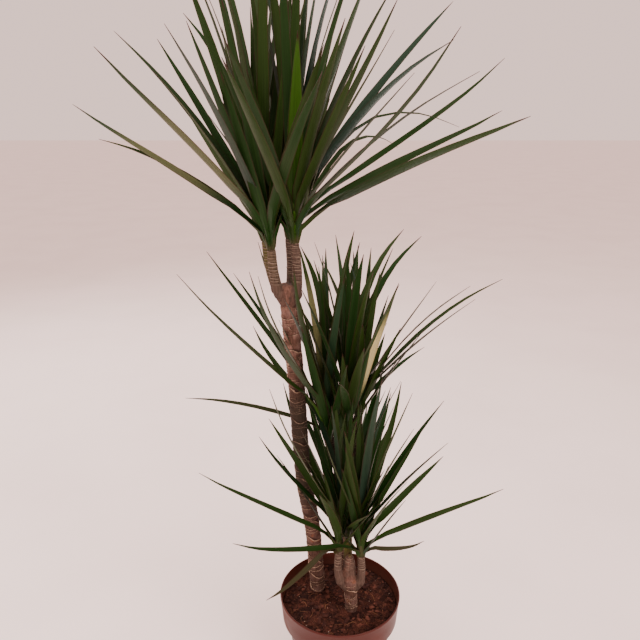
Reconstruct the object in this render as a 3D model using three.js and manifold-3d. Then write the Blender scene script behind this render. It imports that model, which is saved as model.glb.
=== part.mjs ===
// Potted dragon tree: three woody canes of different heights, planted together in a round
// nursery pot. Each cane was cut to length, and leafy shoots have grown from just below the cut.
// Millimetres, +Z up. The front faces -Y, and the origin is the middle of the pot's underside.

import * as THREE from "three";
import { mergeVertices } from "three/addons/utils/BufferGeometryUtils.js";
import Module from "manifold-3d";

// ---------- driving dimensions ----------

const CLEARANCE = 0.3; // between two pieces that touch

const POT_HEIGHT = 200;
const POT_RIM_RADIUS = 120;
const POT_BASE_RADIUS = 86;
const POT_WALL = 2.4;
const POT_FLOOR = 3.2;
const POT_SIDES = 36;
const RIM_BAND_HEIGHT = 52;
const RIM_BAND_TAPER = 5;
const RIM_STEP = 10;
const DRAIN_COUNT = 8;
const DRAIN_RADIUS = 6;
const DRAIN_CIRCLE_RADIUS = 62;
const DRAIN_SLOT_WIDTH = 7;
const DRAIN_SLOT_DEPTH = 1.4;
const DRAIN_SIDES = 10;

const SOIL_TOP = 175;
const SOIL_RELIEF = 2.6;

const CANE_SIDES = 9;
const CANE_FOOT = 70; // how far above the floor the buried ends of the canes stop
const CANE_COLLAR = 184; // where the straight buried end of a cane turns into its grown line
const CANE_SCAR_PITCH = 26;
const SHOOT_SIDES = 7;
const SHOOT_SCAR_PITCH = 18;
const SCAR_HEIGHT = 0.05; // ridge of a leaf scar, as a share of the stem's radius

const BLADE_KEEL = 1.4; // thickness under the midrib at the root
const BLADE_STATIONS = [0, 0.12, 0.34, 0.6, 0.84];
const CORE_RADIUS = 8.5;
const CORE_LENGTH = 78;
const CORE_SIDES = 5;
const CORE_SHOULDER = 0.6; // share of the core's length where it starts to close
const CORE_SHOULDER_SWELL = 0.85; // its width there, as a share of its full width
const SEAT_LOW = 4; // where the oldest and the youngest blades grow, from the foot of the core
const SEAT_HIGH = 66;
const STEEP_RISE = 84; // rise of the leaves that grow at the highest seat
const GOLDEN_ANGLE = 137.508;
const UPRIGHT_RISE = 86; // of the youngest leaves
const OWN_ROLL = 34; // degrees that blades at the sides turn their faces to the light in front
const FILL_ROLL = 18;
const SIDE_REACH = 0.72; // how far sideways a filling leaf may open: beyond it the own leaves grow
const SIDE_AGE = 0.28; // age up to which upright filling leaves grow on all sides
const START_LEAN = 3; // the higher, the more steeply leaves leave the shoot
const BEND_START = 0.16; // share of its length that a leaf needs to bend away from the shoot
const BEND_END = 0.62; // share of its length where its bow is set
const LEAF_SPREAD = { turn: 4, rise: 4, roll: 12, length: 0.06, width: 0.08, bow: 0.03 };
const YOUNG_LENGTH = 0.78; // of the shortest and narrowest leaves, as shares of the head's typical ones
const YOUNG_WIDTH = 0.72;
const FILL_BOW = 0.06;
const BLADE_AIR = 0.8; // air kept round a blade
const BLADE_TRIES = 70; // how many turned places a blade is tried in
const TRY_STEP = 1.6; // degrees that the tries spiral out by
const TRY_RISE = 0.4; // share of that spiral's height: tries turn a blade more than they raise it

// Canes: line is the centre line, from its place in the soil up to the cut, and radii are the
// stem's radius at both ends. Each head is a leafy shoot: its stem line starts inside the cane
// and ends where the leaves begin. Its crown has a number of places for leaves that fill it,
// opening from upright to the rise named open, with a typical length and width. Its own leaves
// are those that stand out of the crown, each given by the turn and rise of its chord in
// degrees, its length, its width and its bow as a share of the length.
const CANES = [
  {
    name: "cane_tall",
    colour: 0x8a6a58,
    line: [[-45, 35], [-47, 35, 215], [-56, 35, 334], [-71, 35, 428], [-78, 35, 525], [-84, 35, 640],
      [-92, 35, 740], [-96, 35, 800], [-97, 35, 828]],
    radii: [14.2, 14.6],
    callus: { place: [-97, 34, 800], size: [19, 16, 24] },
    heads: [
      {
        name: "tall_head_left_front",
        stem: [[-99, 30, 790], [-112, 25, 815], [-121, 22, 850], [-125, 22, 893]],
        radius: 10, fill: 22, open: 44, length: 440, width: 21, phase: 20,
        own: [[161, 31, 435, 16, 0.01], [240, 39, 435, 21, 0.02], [250, 47, 405, 22, 0.07],
          [285, 36, 420, 18, 0.07]],
      },
      {
        name: "tall_head_left_back",
        stem: [[-100, 42, 790], [-116, 51, 815], [-129, 58, 855], [-136, 61, 900]],
        radius: 9, fill: 22, open: 46, length: 430, width: 19, phase: 95,
        own: [[168, 28, 340, 10, 0.13], [174, 53, 395, 20, 0.08], [149, 55, 380, 16, 0.02],
          [164, 69, 350, 15, 0.19], [100, 34, 420, 17, 0.07]],
      },
      {
        name: "tall_head_right_front",
        stem: [[-95, 30, 788], [-86, 24, 815], [-84, 26, 858], [-85, 28, 903]],
        radius: 9.5, fill: 22, open: 44, length: 450, width: 21, phase: 200,
        own: [[263, 31, 485, 15, 0.04], [339, 28, 415, 23, 0.05], [310, 34, 435, 21, 0.1],
          [300, 37, 480, 18, -0.07], [311, 53, 360, 19, 0.02], [284, 44, 420, 20, 0.07],
          [48, 25, 325, 9, 0.49], [300, 49, 420, 19, 0.01], [290, 43, 390, 16, 0.03]],
      },
      {
        name: "tall_head_right_back",
        stem: [[-95, 42, 788], [-95, 53, 815], [-95, 60, 858], [-94, 62, 905]],
        radius: 9, fill: 22, open: 46, length: 440, width: 19, phase: 313,
        own: [[23, 25, 480, 16, 0.02], [16, 36, 490, 12, -0.04], [4, 48, 405, 22, 0.14],
          [23, 51, 485, 16, 0.05], [10, 30, 345, 9, 0.58], [82, 34, 420, 17, 0.07]],
      },
    ],
  },
  {
    name: "cane_middle",
    colour: 0x85654f,
    line: [[11, 55], [10, 55, 215], [6, 55, 330], [3, 55, 420], [3, 55, 476]],
    radii: [13.6, 13.8],
    callus: { place: [3, 55, 456], size: [17, 16, 20] },
    heads: [
      {
        name: "middle_head_left",
        stem: [[0, 53, 445], [-12, 50, 468], [-19, 48, 492], [-22, 48, 520]],
        radius: 9, fill: 13, open: 48, length: 335, width: 18, phase: 40,
        own: [[216, 50, 440, 17, -0.03], [169, 10, 290, 9, 0.1], [158, 52, 400, 11, 0.02],
          [142, 48, 355, 12, 0.04], [242, 55, 425, 18, -0.1], [136, 37, 265, 13, -0.12],
          [237, 72, 325, 20, -0.1], [128, 76, 315, 17, 0.27], [91, 72, 315, 18, 0.02],
          [75, 57, 395, 19, 0.17], [170, 82, 315, 17, 0.04], [225, 63, 345, 17, -0.1]],
      },
      {
        name: "middle_head_front",
        stem: [[4, 50, 445], [10, 42, 470], [13, 40, 502], [13, 40, 538]],
        radius: 9, fill: 16, open: 48, length: 320, width: 19, phase: 130,
        own: [[155, 57, 365, 12, -0.12], [279, 72, 330, 20, 0.16], [37, 69, 350, 16, 0.28],
          [24, 66, 350, 15, 0.26], [295, 61, 330, 22, 0.02], [170, 77, 280, 15, 0.02],
          [265, 36, 330, 16, 0.07]],
      },
      {
        name: "middle_head_right",
        stem: [[5, 58, 445], [20, 62, 470], [30, 63, 512], [34, 63, 558]],
        radius: 9, fill: 14, open: 50, length: 280, width: 18, phase: 215,
        own: [[320, 60, 295, 20, 0.02], [315, 51, 350, 14, 0.1], [340, 48, 360, 9, 0.13],
          [315, 48, 345, 13, 0.05], [9, 43, 165, 9, 0.1], [165, 84, 235, 14, 0.09],
          [60, 73, 235, 14, 0.34], [95, 34, 320, 15, 0.07]],
      },
    ],
  },
  {
    name: "cane_short",
    colour: 0x84604c,
    line: [[22, -24], [21, -24, 205], [20, -24, 225], [20, -24, 246]],
    radii: [13.8, 15],
    callus: { place: [19, -24, 234], size: [21, 17, 17] },
    heads: [
      {
        name: "short_head_left",
        stem: [[12, -25, 226], [0, -26, 246], [-4, -26, 275], [-3, -26, 316]],
        radius: 8.6, fill: 19, open: 48, length: 290, width: 18, phase: 70,
        own: [[182, 32, 300, 11, -0.01], [196, -32, 165, 11, -0.08], [209, 58, 295, 19, -0.04],
          [155, 56, 260, 15, 0.02], [229, 64, 395, 20, -0.06], [121, 48, 325, 14, -0.1]],
      },
      {
        name: "short_head_right",
        stem: [[28, -25, 226], [39, -26, 244], [41, -27, 272], [39, -27, 306]],
        radius: 8.6, fill: 12, open: 56, length: 285, width: 18, phase: 160,
        own: [[212, 25, 285, 11, -0.08], [239, 64, 300, 11, -0.02], [251, 67, 265, 15, -0.02],
          [286, 76, 360, 21, 0.04], [44, 74, 275, 14, 0.04], [41, 71, 300, 15, -0.06],
          [304, 70, 360, 18, 0.02], [311, 67, 295, 16, 0.04], [348, 66, 325, 13, 0.05],
          [26, 58, 235, 10, 0.02], [320, 58, 315, 17, 0.04], [16, 46, 230, 14, 0.03],
          [2, 26, 290, 12, 0.02], [18, -2, 130, 9, -0.16]],
      },
      {
        name: "short_head_back",
        stem: [[19, -20, 226], [17, -10, 250], [15, -5, 285], [15, -3, 328]],
        radius: 8.4, fill: 22, open: 48, length: 290, width: 18, phase: 280,
        own: [[64, 44, 300, 15, 0.05], [78, 50, 300, 14, 0.05], [90, 30, 300, 15, 0.07]],
      },
    ],
  },
];

const POT_COLOUR = 0x9a5444;
const SOIL_COLOUR = 0x4a2a22;
const LEAF_COLOUR = 0x2c4a26;

// ---------- shared geometry ----------

const wasm = await Module();
wasm.setup();

const vector = (point) => new THREE.Vector3(...point);
const radians = THREE.MathUtils.degToRad;
const lerp = THREE.MathUtils.lerp;

// Repeatable random numbers from 0 to 1.
function randomSource(seed) {
  let state = seed;
  return () => {
    state = (state + 0x6d2b79f5) | 0;
    let mixed = Math.imul(state ^ (state >>> 15), 1 | state);
    mixed = (mixed + Math.imul(mixed ^ (mixed >>> 7), 61 | mixed)) ^ mixed;
    return ((mixed ^ (mixed >>> 14)) >>> 0) / 4294967296;
  };
}

// Solid from a closed geometry: shared corners merged, faces with no area left out.
function solidFrom(geometry) {
  const bare = geometry.clone();
  bare.deleteAttribute("normal");
  bare.deleteAttribute("uv");
  const merged = mergeVertices(bare, 1e-4);
  const corners = merged.index.array;
  const faces = [];
  for (let i = 0; i < corners.length; i += 3) {
    const [a, b, c] = corners.slice(i, i + 3);
    if (a !== b && b !== c && c !== a) {
      faces.push(a, b, c);
    }
  }
  return new wasm.Manifold(new wasm.Mesh({
    numProp: 3,
    vertProperties: new Float32Array(merged.attributes.position.array),
    triVerts: new Uint32Array(faces),
  }));
}

function geometryFrom(solid) {
  const mesh = solid.getMesh();
  const geometry = new THREE.BufferGeometry();
  geometry.setAttribute("position", new THREE.BufferAttribute(mesh.vertProperties, 3));
  geometry.setIndex(new THREE.BufferAttribute(mesh.triVerts, 1));
  return geometry;
}

// Whether a four-sided face with these corners dips inwards along its first diagonal.
function isHollow(a, b, c, d) {
  const normal = new THREE.Vector3().subVectors(b, a).cross(new THREE.Vector3().subVectors(c, a));
  return normal.dot(new THREE.Vector3().subVectors(d, a)) > 0;
}

// Closed surface through rings of points, all wound about the way from first to last. A ring
// of one point is a tip. Twisted faces are split so that they bulge, which keeps thin blades
// from crossing themselves.
function loft(rings) {
  const points = rings.flat();
  const first = [];
  let count = 0;
  for (const ring of rings) {
    first.push(count);
    count += ring.length;
  }
  const faces = [];
  for (let i = 0; i + 1 < rings.length; i += 1) {
    const low = rings[i].length;
    const high = rings[i + 1].length;
    for (let k = 0; k < Math.max(low, high); k += 1) {
      const a = first[i] + (k % low);
      const b = first[i] + ((k + 1) % low);
      const c = first[i + 1] + (k % high);
      const d = first[i + 1] + ((k + 1) % high);
      if (a === b) {
        faces.push(a, d, c);
      } else if (c === d) {
        faces.push(a, b, c);
      } else if (isHollow(points[a], points[b], points[d], points[c])) {
        faces.push(a, b, c, b, d, c);
      } else {
        faces.push(a, b, d, a, d, c);
      }
    }
  }
  const last = first[rings.length - 1];
  for (let k = 1; k + 1 < rings[0].length; k += 1) {
    faces.push(0, k + 1, k);
  }
  for (let k = 1; k + 1 < rings[rings.length - 1].length; k += 1) {
    faces.push(last, last + k, last + k + 1);
  }
  const geometry = new THREE.BufferGeometry();
  geometry.setFromPoints(points);
  geometry.setIndex(faces);
  return geometry;
}

// Ring of a round stem. Stems never run along Y, so the section is turned about that axis.
function stemRing(centre, along, radius, sides) {
  const across = new THREE.Vector3(0, 1, 0).cross(along).normalize();
  const back = new THREE.Vector3().crossVectors(along, across);
  return Array.from({ length: sides }, (_, k) => {
    const angle = (2 * Math.PI * k) / sides;
    return centre.clone()
      .addScaledVector(across, radius * Math.cos(angle))
      .addScaledVector(back, radius * Math.sin(angle));
  });
}

// Rings of a stem along a curve, with a low ridge at each leaf scar.
function scarredRings(curve, radii, sides, pitch, random) {
  const scars = Math.max(1, Math.round(curve.getLength() / pitch));
  const rings = [];
  for (let k = 0; k <= 2 * scars; k += 1) {
    const onScar = k % 2 === 1;
    const wander = onScar ? 0.5 * (random() - 0.5) : 0;
    const share = (k + wander) / (2 * scars);
    const swell = onScar ? 1 + SCAR_HEIGHT : 1 - 0.3 * SCAR_HEIGHT;
    const radius = lerp(radii[0], radii[1], share) * swell;
    rings.push(stemRing(curve.getPointAt(share), curve.getTangentAt(share), radius, sides));
  }
  return rings;
}

const smoothCurve = (points) => new THREE.CatmullRomCurve3(points, false, "catmullrom", 0.5);

// ---------- pot ----------

const bandFoot = POT_HEIGHT - RIM_BAND_HEIGHT;
const bandFootRadius = POT_RIM_RADIUS - RIM_BAND_TAPER;
const wallTopRadius = bandFootRadius - RIM_STEP;

// Radius and height of the inner face, from the floor's edge up to just under the lip.
const innerWall = [
  [POT_BASE_RADIUS - POT_WALL - 4, POT_FLOOR],
  [POT_BASE_RADIUS - POT_WALL, POT_FLOOR + 4],
  [wallTopRadius - POT_WALL, bandFoot - 1.5],
  [bandFootRadius - POT_WALL, bandFoot + 1.5],
  [POT_RIM_RADIUS - POT_WALL - 0.6, POT_HEIGHT - 4],
];

const outerWall = [
  [0, 0],
  [POT_BASE_RADIUS - 2, 0],
  [POT_BASE_RADIUS, 2],
  [wallTopRadius, bandFoot - 4],
  [bandFootRadius, bandFoot - 1],
  [POT_RIM_RADIUS - 0.6, POT_HEIGHT - 4],
  [POT_RIM_RADIUS, POT_HEIGHT - 1.4],
  [POT_RIM_RADIUS - 1.2, POT_HEIGHT],
  [POT_RIM_RADIUS - POT_WALL - 0.2, POT_HEIGHT - 0.8],
];

function turned(profile) {
  const points = profile.map(([radius, height]) => new THREE.Vector2(radius, height));
  return new THREE.LatheGeometry(points, POT_SIDES).rotateX(Math.PI / 2);
}

function makePot() {
  const profile = [...outerWall, ...innerWall.toReversed(), [0, POT_FLOOR]];
  let pot = solidFrom(turned(profile));
  for (let k = 0; k < DRAIN_COUNT; k += 1) {
    const angle = (2 * Math.PI * k) / DRAIN_COUNT;
    const slotLength = POT_BASE_RADIUS - DRAIN_CIRCLE_RADIUS + 2;
    const hole = new THREE.CylinderGeometry(DRAIN_RADIUS, DRAIN_RADIUS, 4 * POT_FLOOR, DRAIN_SIDES)
      .rotateX(Math.PI / 2)
      .translate(DRAIN_CIRCLE_RADIUS, 0, 0)
      .rotateZ(angle);
    const slot = new THREE.BoxGeometry(slotLength, DRAIN_SLOT_WIDTH, 2 * DRAIN_SLOT_DEPTH)
      .translate(DRAIN_CIRCLE_RADIUS + slotLength / 2, 0, 0)
      .rotateZ(angle);
    pot = pot.subtract(solidFrom(hole)).subtract(solidFrom(slot));
  }
  return pot;
}

// ---------- soil ----------

// Low lumps of loose bark and fibre, level towards the wall of the pot.
function soilHeight(x, y) {
  const reach = Math.hypot(x, y) / POT_RIM_RADIUS;
  const lumps = Math.sin(x / 11 + 0.7) * Math.cos(y / 13 - 0.4) + 0.6 * Math.sin((x + 2 * y) / 17);
  return SOIL_RELIEF * lumps * (1 - reach * reach);
}

function makeSoil(canes) {
  const side = innerWall.slice(0, -1).map(([radius, height]) => [radius - CLEARANCE, height + CLEARANCE]);
  const [edgeRadius, edgeHeight] = side[side.length - 1];
  const [lipRadius, lipHeight] = innerWall[innerWall.length - 1];
  const upWall = (SOIL_TOP - edgeHeight) / (lipHeight - edgeHeight);
  const topRadius = lerp(edgeRadius, lipRadius - CLEARANCE, upWall);
  const topRings = [1, 0.78, 0.5, 0.25, 0].map((share) => [share * topRadius, SOIL_TOP]);
  const geometry = turned([[0, side[0][1]], ...side, ...topRings]);
  const position = geometry.attributes.position;
  for (let i = 0; i < position.count; i += 1) {
    if (position.getZ(i) > SOIL_TOP - 0.01) {
      position.setZ(i, SOIL_TOP + soilHeight(position.getX(i), position.getY(i)));
    }
  }
  let soil = solidFrom(geometry);
  for (const cane of canes) {
    const hole = loft([CANE_FOOT - CLEARANCE, CANE_COLLAR].map((height) => stemRing(
      new THREE.Vector3(...cane.line[0], height),
      new THREE.Vector3(0, 0, 1),
      cane.radii[0] + CLEARANCE / Math.cos(Math.PI / CANE_SIDES),
      CANE_SIDES,
    )));
    soil = soil.subtract(solidFrom(hole));
  }
  return soil;
}

// ---------- canes ----------

// One grown piece: the cane with its buried end, the swollen callus under its cut top, and
// the bare lower stems of its shoots.
function makeCane(cane) {
  const random = randomSource(cane.name.length * 31);
  const upright = new THREE.Vector3(0, 0, 1);
  const foot = new THREE.Vector3(...cane.line[0], CANE_FOOT);
  const collar = new THREE.Vector3(...cane.line[0], CANE_COLLAR);
  const curve = smoothCurve([collar, ...cane.line.slice(1).map(vector)]);
  const grown = scarredRings(curve, cane.radii, CANE_SIDES, CANE_SCAR_PITCH, random);
  const buried = [foot, collar].map((place) => stemRing(place, upright, cane.radii[0], CANE_SIDES));
  let wood = solidFrom(loft([...buried, ...grown.slice(1)]));
  const callus = new THREE.SphereGeometry(1, 9, 6)
    .rotateX(Math.PI / 2)
    .scale(...cane.callus.size)
    .translate(...cane.callus.place);
  wood = wood.add(solidFrom(callus));
  for (const head of cane.heads) {
    const stem = smoothCurve(head.stem.map(vector));
    const radii = [head.radius * 1.12, head.radius];
    wood = wood.add(solidFrom(loft(scarredRings(stem, radii, SHOOT_SIDES, SHOOT_SCAR_PITCH, random))));
  }
  return wood;
}

// ---------- leaves ----------

// Share of the full width along a blade: narrow at the shoot, broad from a third, then pointed.
const widthAt = (share) => (0.36 + 0.64 * THREE.MathUtils.smoothstep(share, -0.02, 0.28)) * (1 - share ** 3);

const coreRadiusAt = (share) => CORE_RADIUS * (share < CORE_SHOULDER
  ? lerp(1, CORE_SHOULDER_SWELL, share / CORE_SHOULDER)
  : lerp(CORE_SHOULDER_SWELL, 0, (share - CORE_SHOULDER) / (1 - CORE_SHOULDER)));

// Centre line of one blade: it leaves the shoot upwards, then opens towards its own direction.
function bladeCurve(head, leaf) {
  const turn = radians(leaf.turn);
  const rise = radians(leaf.rise);
  const outward = new THREE.Vector3(Math.cos(turn), Math.sin(turn), 0);
  const depth = lerp(0.6, 0.3, leaf.seat / CORE_LENGTH); // how near the core's skin the root sits
  const root = head.base.clone()
    .addScaledVector(head.axis, leaf.seat)
    .addScaledVector(outward, depth * coreRadiusAt(leaf.seat / CORE_LENGTH));
  const chord = outward.clone().multiplyScalar(Math.cos(rise)).setZ(Math.sin(rise));
  const lift = outward.clone().multiplyScalar(-Math.sin(rise)).setZ(Math.cos(rise));
  const start = head.axis.clone().addScaledVector(outward, Math.cos(rise) ** START_LEAN).normalize();
  const curve = new THREE.CubicBezierCurve3(
    root,
    root.clone().addScaledVector(start, BEND_START * leaf.length),
    root.clone()
      .addScaledVector(chord, BEND_END * leaf.length)
      .addScaledVector(lift, leaf.bow * leaf.length),
    root.clone().addScaledVector(chord, leaf.length),
  );
  curve.arcLengthDivisions = 24;
  return curve;
}

// Rings of a blade: two edges and the keel under the midrib, down to a fine tip. With air,
// a fourth corner stands over the midrib and every corner moves out by that much.
function bladeRings(head, leaf, stations, air = 0) {
  const curve = bladeCurve(head, leaf);
  const turn = radians(leaf.turn);
  const rings = stations.map((share) => {
    const centre = curve.getPointAt(share);
    const along = curve.getTangentAt(share);
    const side = new THREE.Vector3(-Math.sin(turn), Math.cos(turn), 0)
      .applyAxisAngle(along, radians(leaf.roll * THREE.MathUtils.smoothstep(share, 0, 0.3)));
    side.addScaledVector(along, -side.dot(along)).normalize();
    const up = new THREE.Vector3().crossVectors(along, side);
    const half = (leaf.width * widthAt(share)) / 2 + air;
    const keel = BLADE_KEEL * (1 - 0.4 * share) + air;
    const ring = [
      centre.clone().addScaledVector(side, -half),
      centre.clone().addScaledVector(up, -keel),
      centre.clone().addScaledVector(side, half),
    ];
    if (air > 0) {
      ring.push(centre.clone().addScaledVector(up, air));
    }
    return ring;
  });
  const tip = curve.getPointAt(1).addScaledVector(curve.getTangentAt(1), air);
  return [...rings, [tip]];
}

// A body with boxes round its stretches, so that far bodies are told apart quickly.
function bodyFromRings(rings) {
  const boxes = [];
  for (let i = 0; i + 1 < rings.length; i += 1) {
    boxes.push(new THREE.Box3().setFromPoints([...rings[i], ...rings[i + 1]]));
  }
  return { solid: solidFrom(loft(rings)), boxes };
}

function bodyFromSolid(solid) {
  const slabHeight = 40;
  const position = geometryFrom(solid).attributes.position;
  const slabs = new Map();
  const point = new THREE.Vector3();
  for (let i = 0; i < position.count; i += 1) {
    point.fromBufferAttribute(position, i);
    const slab = Math.floor(point.z / slabHeight);
    for (const key of [slab - 1, slab, slab + 1]) {
      slabs.set(key, (slabs.get(key) ?? new THREE.Box3()).expandByPoint(point));
    }
  }
  return { solid, boxes: [...slabs.values()] };
}

function touches(body, other) {
  if (!body.boxes.some((box) => other.boxes.some((near) => box.intersectsBox(near)))) {
    return false;
  }
  const shared = body.solid.intersect(other.solid);
  const empty = shared.isEmpty();
  shared.delete();
  return !empty;
}

// All leaves that a head should carry: its own ones, then a crown filled by the golden angle,
// from wide old leaves low on the shoot to upright young ones at its tip.
function wantedLeaves(head, random) {
  const spread = (size) => size * (2 * random() - 1);
  const rollFor = (turn, most) => most * Math.cos(radians(turn)) + spread(LEAF_SPREAD.roll);
  const own = head.own.map(([turn, rise, length, width, bow]) => {
    const steepness = THREE.MathUtils.clamp(rise / STEEP_RISE, 0, 1);
    const seat = lerp(SEAT_LOW, SEAT_HIGH, steepness ** 2);
    return { turn, rise, length, width, bow, seat, roll: rollFor(turn, OWN_ROLL) };
  });
  const fill = Array.from({ length: head.fill }, (_, k) => {
    const age = 1 - k / (head.fill - 1);
    const turn = head.phase + k * GOLDEN_ANGLE + spread(LEAF_SPREAD.turn);
    const fullness = Math.sin(Math.PI * age ** 0.7);
    return {
      age,
      turn,
      rise: lerp(UPRIGHT_RISE, head.open, age ** 0.85) + spread(LEAF_SPREAD.rise),
      length: head.length * (lerp(YOUNG_LENGTH, 1, fullness) + spread(LEAF_SPREAD.length)),
      width: head.width * (lerp(YOUNG_WIDTH, 1, Math.sqrt(age)) + spread(LEAF_SPREAD.width)),
      bow: FILL_BOW + spread(LEAF_SPREAD.bow),
      seat: lerp(SEAT_HIGH, SEAT_LOW, age),
      roll: rollFor(turn, FILL_ROLL),
    };
  });
  const hasRoom = ({ age, turn }) => age < SIDE_AGE || Math.abs(Math.cos(radians(turn))) < SIDE_REACH;
  return { own, fill: fill.filter(hasRoom).toReversed() };
}

// A leaf as near to the wanted one as leaves air to everything that isn't its own head, and,
// if it can, to the outer reach of its own head's blades too.
function placeLeaf(head, wanted, others) {
  const outerStations = BLADE_STATIONS.slice(1);
  let fallback = null;
  for (let k = 0; k < BLADE_TRIES; k += 1) {
    const away = TRY_STEP * Math.sqrt(k);
    const way = radians(k * GOLDEN_ANGLE);
    const level = Math.max(0.35, Math.cos(radians(wanted.rise)));
    const leaf = {
      ...wanted,
      turn: wanted.turn + (away * Math.cos(way)) / level,
      rise: wanted.rise + TRY_RISE * away * Math.sin(way),
    };
    const guard = bodyFromRings(bladeRings(head, leaf, BLADE_STATIONS, BLADE_AIR));
    if (others.every((other) => !touches(guard, other))) {
      const reach = bodyFromRings(bladeRings(head, leaf, outerStations, BLADE_AIR));
      if (head.outer.every((other) => !touches(reach, other))) {
        return leaf;
      }
      fallback ??= leaf;
    }
  }
  return fallback;
}

function addLeaf(head, wanted, bodies) {
  const others = bodies.filter((body) => body.owner !== head);
  const leaf = placeLeaf(head, wanted, others);
  if (leaf) {
    const blade = bodyFromRings(bladeRings(head, leaf, BLADE_STATIONS));
    bodies.push({ ...blade, owner: head });
    head.blades.push(blade.solid);
    head.outer.push(bodyFromRings(bladeRings(head, leaf, BLADE_STATIONS.slice(1))));
  }
}

// The slim core of a head: young sheaths rolled round the growing tip of the shoot.
function coreRings(head) {
  const rings = [0, CORE_SHOULDER].map((share) => stemRing(
    head.base.clone().addScaledVector(head.axis, share * CORE_LENGTH),
    head.axis,
    coreRadiusAt(share),
    CORE_SIDES,
  ));
  return [...rings, [head.base.clone().addScaledVector(head.axis, CORE_LENGTH)]];
}

// ---------- assembly ----------

const plant = new THREE.Group();

function addPiece(name, solid, color, roughness) {
  const mesh = new THREE.Mesh(
    geometryFrom(solid),
    new THREE.MeshStandardMaterial({ color, roughness, metalness: 0 }),
  );
  mesh.name = name;
  plant.add(mesh);
}

const pot = makePot();
const soil = makeSoil(CANES);
addPiece("pot", pot, POT_COLOUR, 0.55);
addPiece("soil", soil, SOIL_COLOUR, 0.95);

const bodies = [bodyFromSolid(pot), bodyFromSolid(soil)];
const heads = [];
for (const cane of CANES) {
  const wood = makeCane(cane);
  addPiece(cane.name, wood, cane.colour, 0.85);
  bodies.push(bodyFromSolid(wood));
  for (const head of cane.heads) {
    const stem = smoothCurve(head.stem.map(vector));
    head.axis = stem.getTangentAt(1);
    head.base = stem.getPointAt(1).addScaledVector(head.axis, CLEARANCE);
    const core = bodyFromRings(coreRings(head));
    bodies.push({ ...core, owner: head });
    head.blades = [core.solid];
    head.outer = [];
    head.wanted = wantedLeaves(head, randomSource(Math.round(97 * head.phase + head.length)));
    heads.push(head);
  }
}

for (const head of heads) {
  head.wanted.own.forEach((wanted) => addLeaf(head, wanted, bodies));
}
for (let k = 0; heads.some((head) => k < head.wanted.fill.length); k += 1) {
  for (const head of heads) {
    head.wanted.fill.slice(k, k + 1).forEach((wanted) => addLeaf(head, wanted, bodies));
  }
}
for (const head of heads) {
  addPiece(head.name, head.blades.reduce((whole, blade) => whole.add(blade)), LEAF_COLOUR, 0.5);
}

export default plant;
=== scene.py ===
import math
import random

import bmesh
import bpy
import numpy as np
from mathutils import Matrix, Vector, noise


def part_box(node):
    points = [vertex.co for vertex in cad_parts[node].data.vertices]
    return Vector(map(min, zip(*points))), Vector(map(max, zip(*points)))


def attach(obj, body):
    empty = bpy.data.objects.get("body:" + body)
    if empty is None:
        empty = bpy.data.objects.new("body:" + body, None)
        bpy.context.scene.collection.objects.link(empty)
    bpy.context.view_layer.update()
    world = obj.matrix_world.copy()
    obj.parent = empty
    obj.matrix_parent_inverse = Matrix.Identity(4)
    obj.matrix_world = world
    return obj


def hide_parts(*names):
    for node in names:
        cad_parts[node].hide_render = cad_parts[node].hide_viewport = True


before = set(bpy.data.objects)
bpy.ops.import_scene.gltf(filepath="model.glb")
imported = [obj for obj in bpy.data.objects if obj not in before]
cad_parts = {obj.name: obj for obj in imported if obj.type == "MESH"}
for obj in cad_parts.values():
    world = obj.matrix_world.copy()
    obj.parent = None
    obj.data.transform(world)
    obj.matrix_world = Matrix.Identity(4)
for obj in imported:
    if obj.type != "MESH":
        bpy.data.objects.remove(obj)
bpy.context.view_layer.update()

# ---------- Camera ----------
# It stands where the photograph was taken from: about a metre in front of the plant, as high as
# the leaves of the tallest heads, and looks slightly down.
PHOTO_WIDTH = 640  # pixels
FOCAL_PIXELS = 641
SENSOR_WIDTH = 36.0  # mm
CAMERA_PLACE = (-0.040, -1.065, 1.112)
CAMERA_DIP = math.radians(17.7)

bpy.ops.object.camera_add(location=CAMERA_PLACE, rotation=(math.radians(90) - CAMERA_DIP, 0, 0))
camera = bpy.context.object
camera.name = "camera"
camera.data.sensor_width = SENSOR_WIDTH
camera.data.lens = SENSOR_WIDTH * FOCAL_PIXELS / PHOTO_WIDTH
bpy.context.scene.camera = camera

# ---------- Studio ----------
# A pale matt floor that runs far back, an even pale surround, and four large soft lamps: one
# high in front on the right, one behind on the left, and weak ones on the left and in front.
FLOOR_SIZE = 60.0
FLOOR_MOTTLE = 2.5  # size of its marks: the higher, the finer
FLOOR_COLOUR = (0.97, 0.86, 0.83, 1)
FLOOR_WORN_COLOUR = (0.93, 0.82, 0.79, 1)
SURROUND_COLOUR = (1.0, 0.71, 0.64, 1)
SURROUND_STRENGTH = 1.37
LAMPS = {
    # name: (place, size across, watts)
    "key_lamp": ((1.7, -1.9, 2.7), 2.2, 104),
    "back_lamp": ((-1.6, 1.9, 2.4), 2.0, 78),
    "side_lamp": ((-2.2, -0.9, 1.7), 1.8, 22),
    "front_lamp": ((-0.3, -3.0, 1.2), 1.2, 26),
}
LAMP_AIM = Vector((0, 0, 0.75))
LAMP_COLOUR = (1.0, 0.91, 0.88)


def add_node(tree, kind, sockets=None, **settings):
    """A node of a finish: its settings, and its sockets set to values or linked to outputs."""
    node = tree.nodes.new("ShaderNode" + kind)
    for name, value in settings.items():
        setattr(node, name, value)
    for socket, value in (sockets or {}).items():
        if isinstance(value, bpy.types.NodeSocket):
            tree.links.new(value, node.inputs[socket])
        else:
            node.inputs[socket].default_value = value
    return node


def blend(tree, share, low, high):
    """Colour between low and high, by a share from 0 to 1."""
    return add_node(tree, "Mix", {0: share, 6: low, 7: high}, data_type="RGBA").outputs[2]


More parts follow.
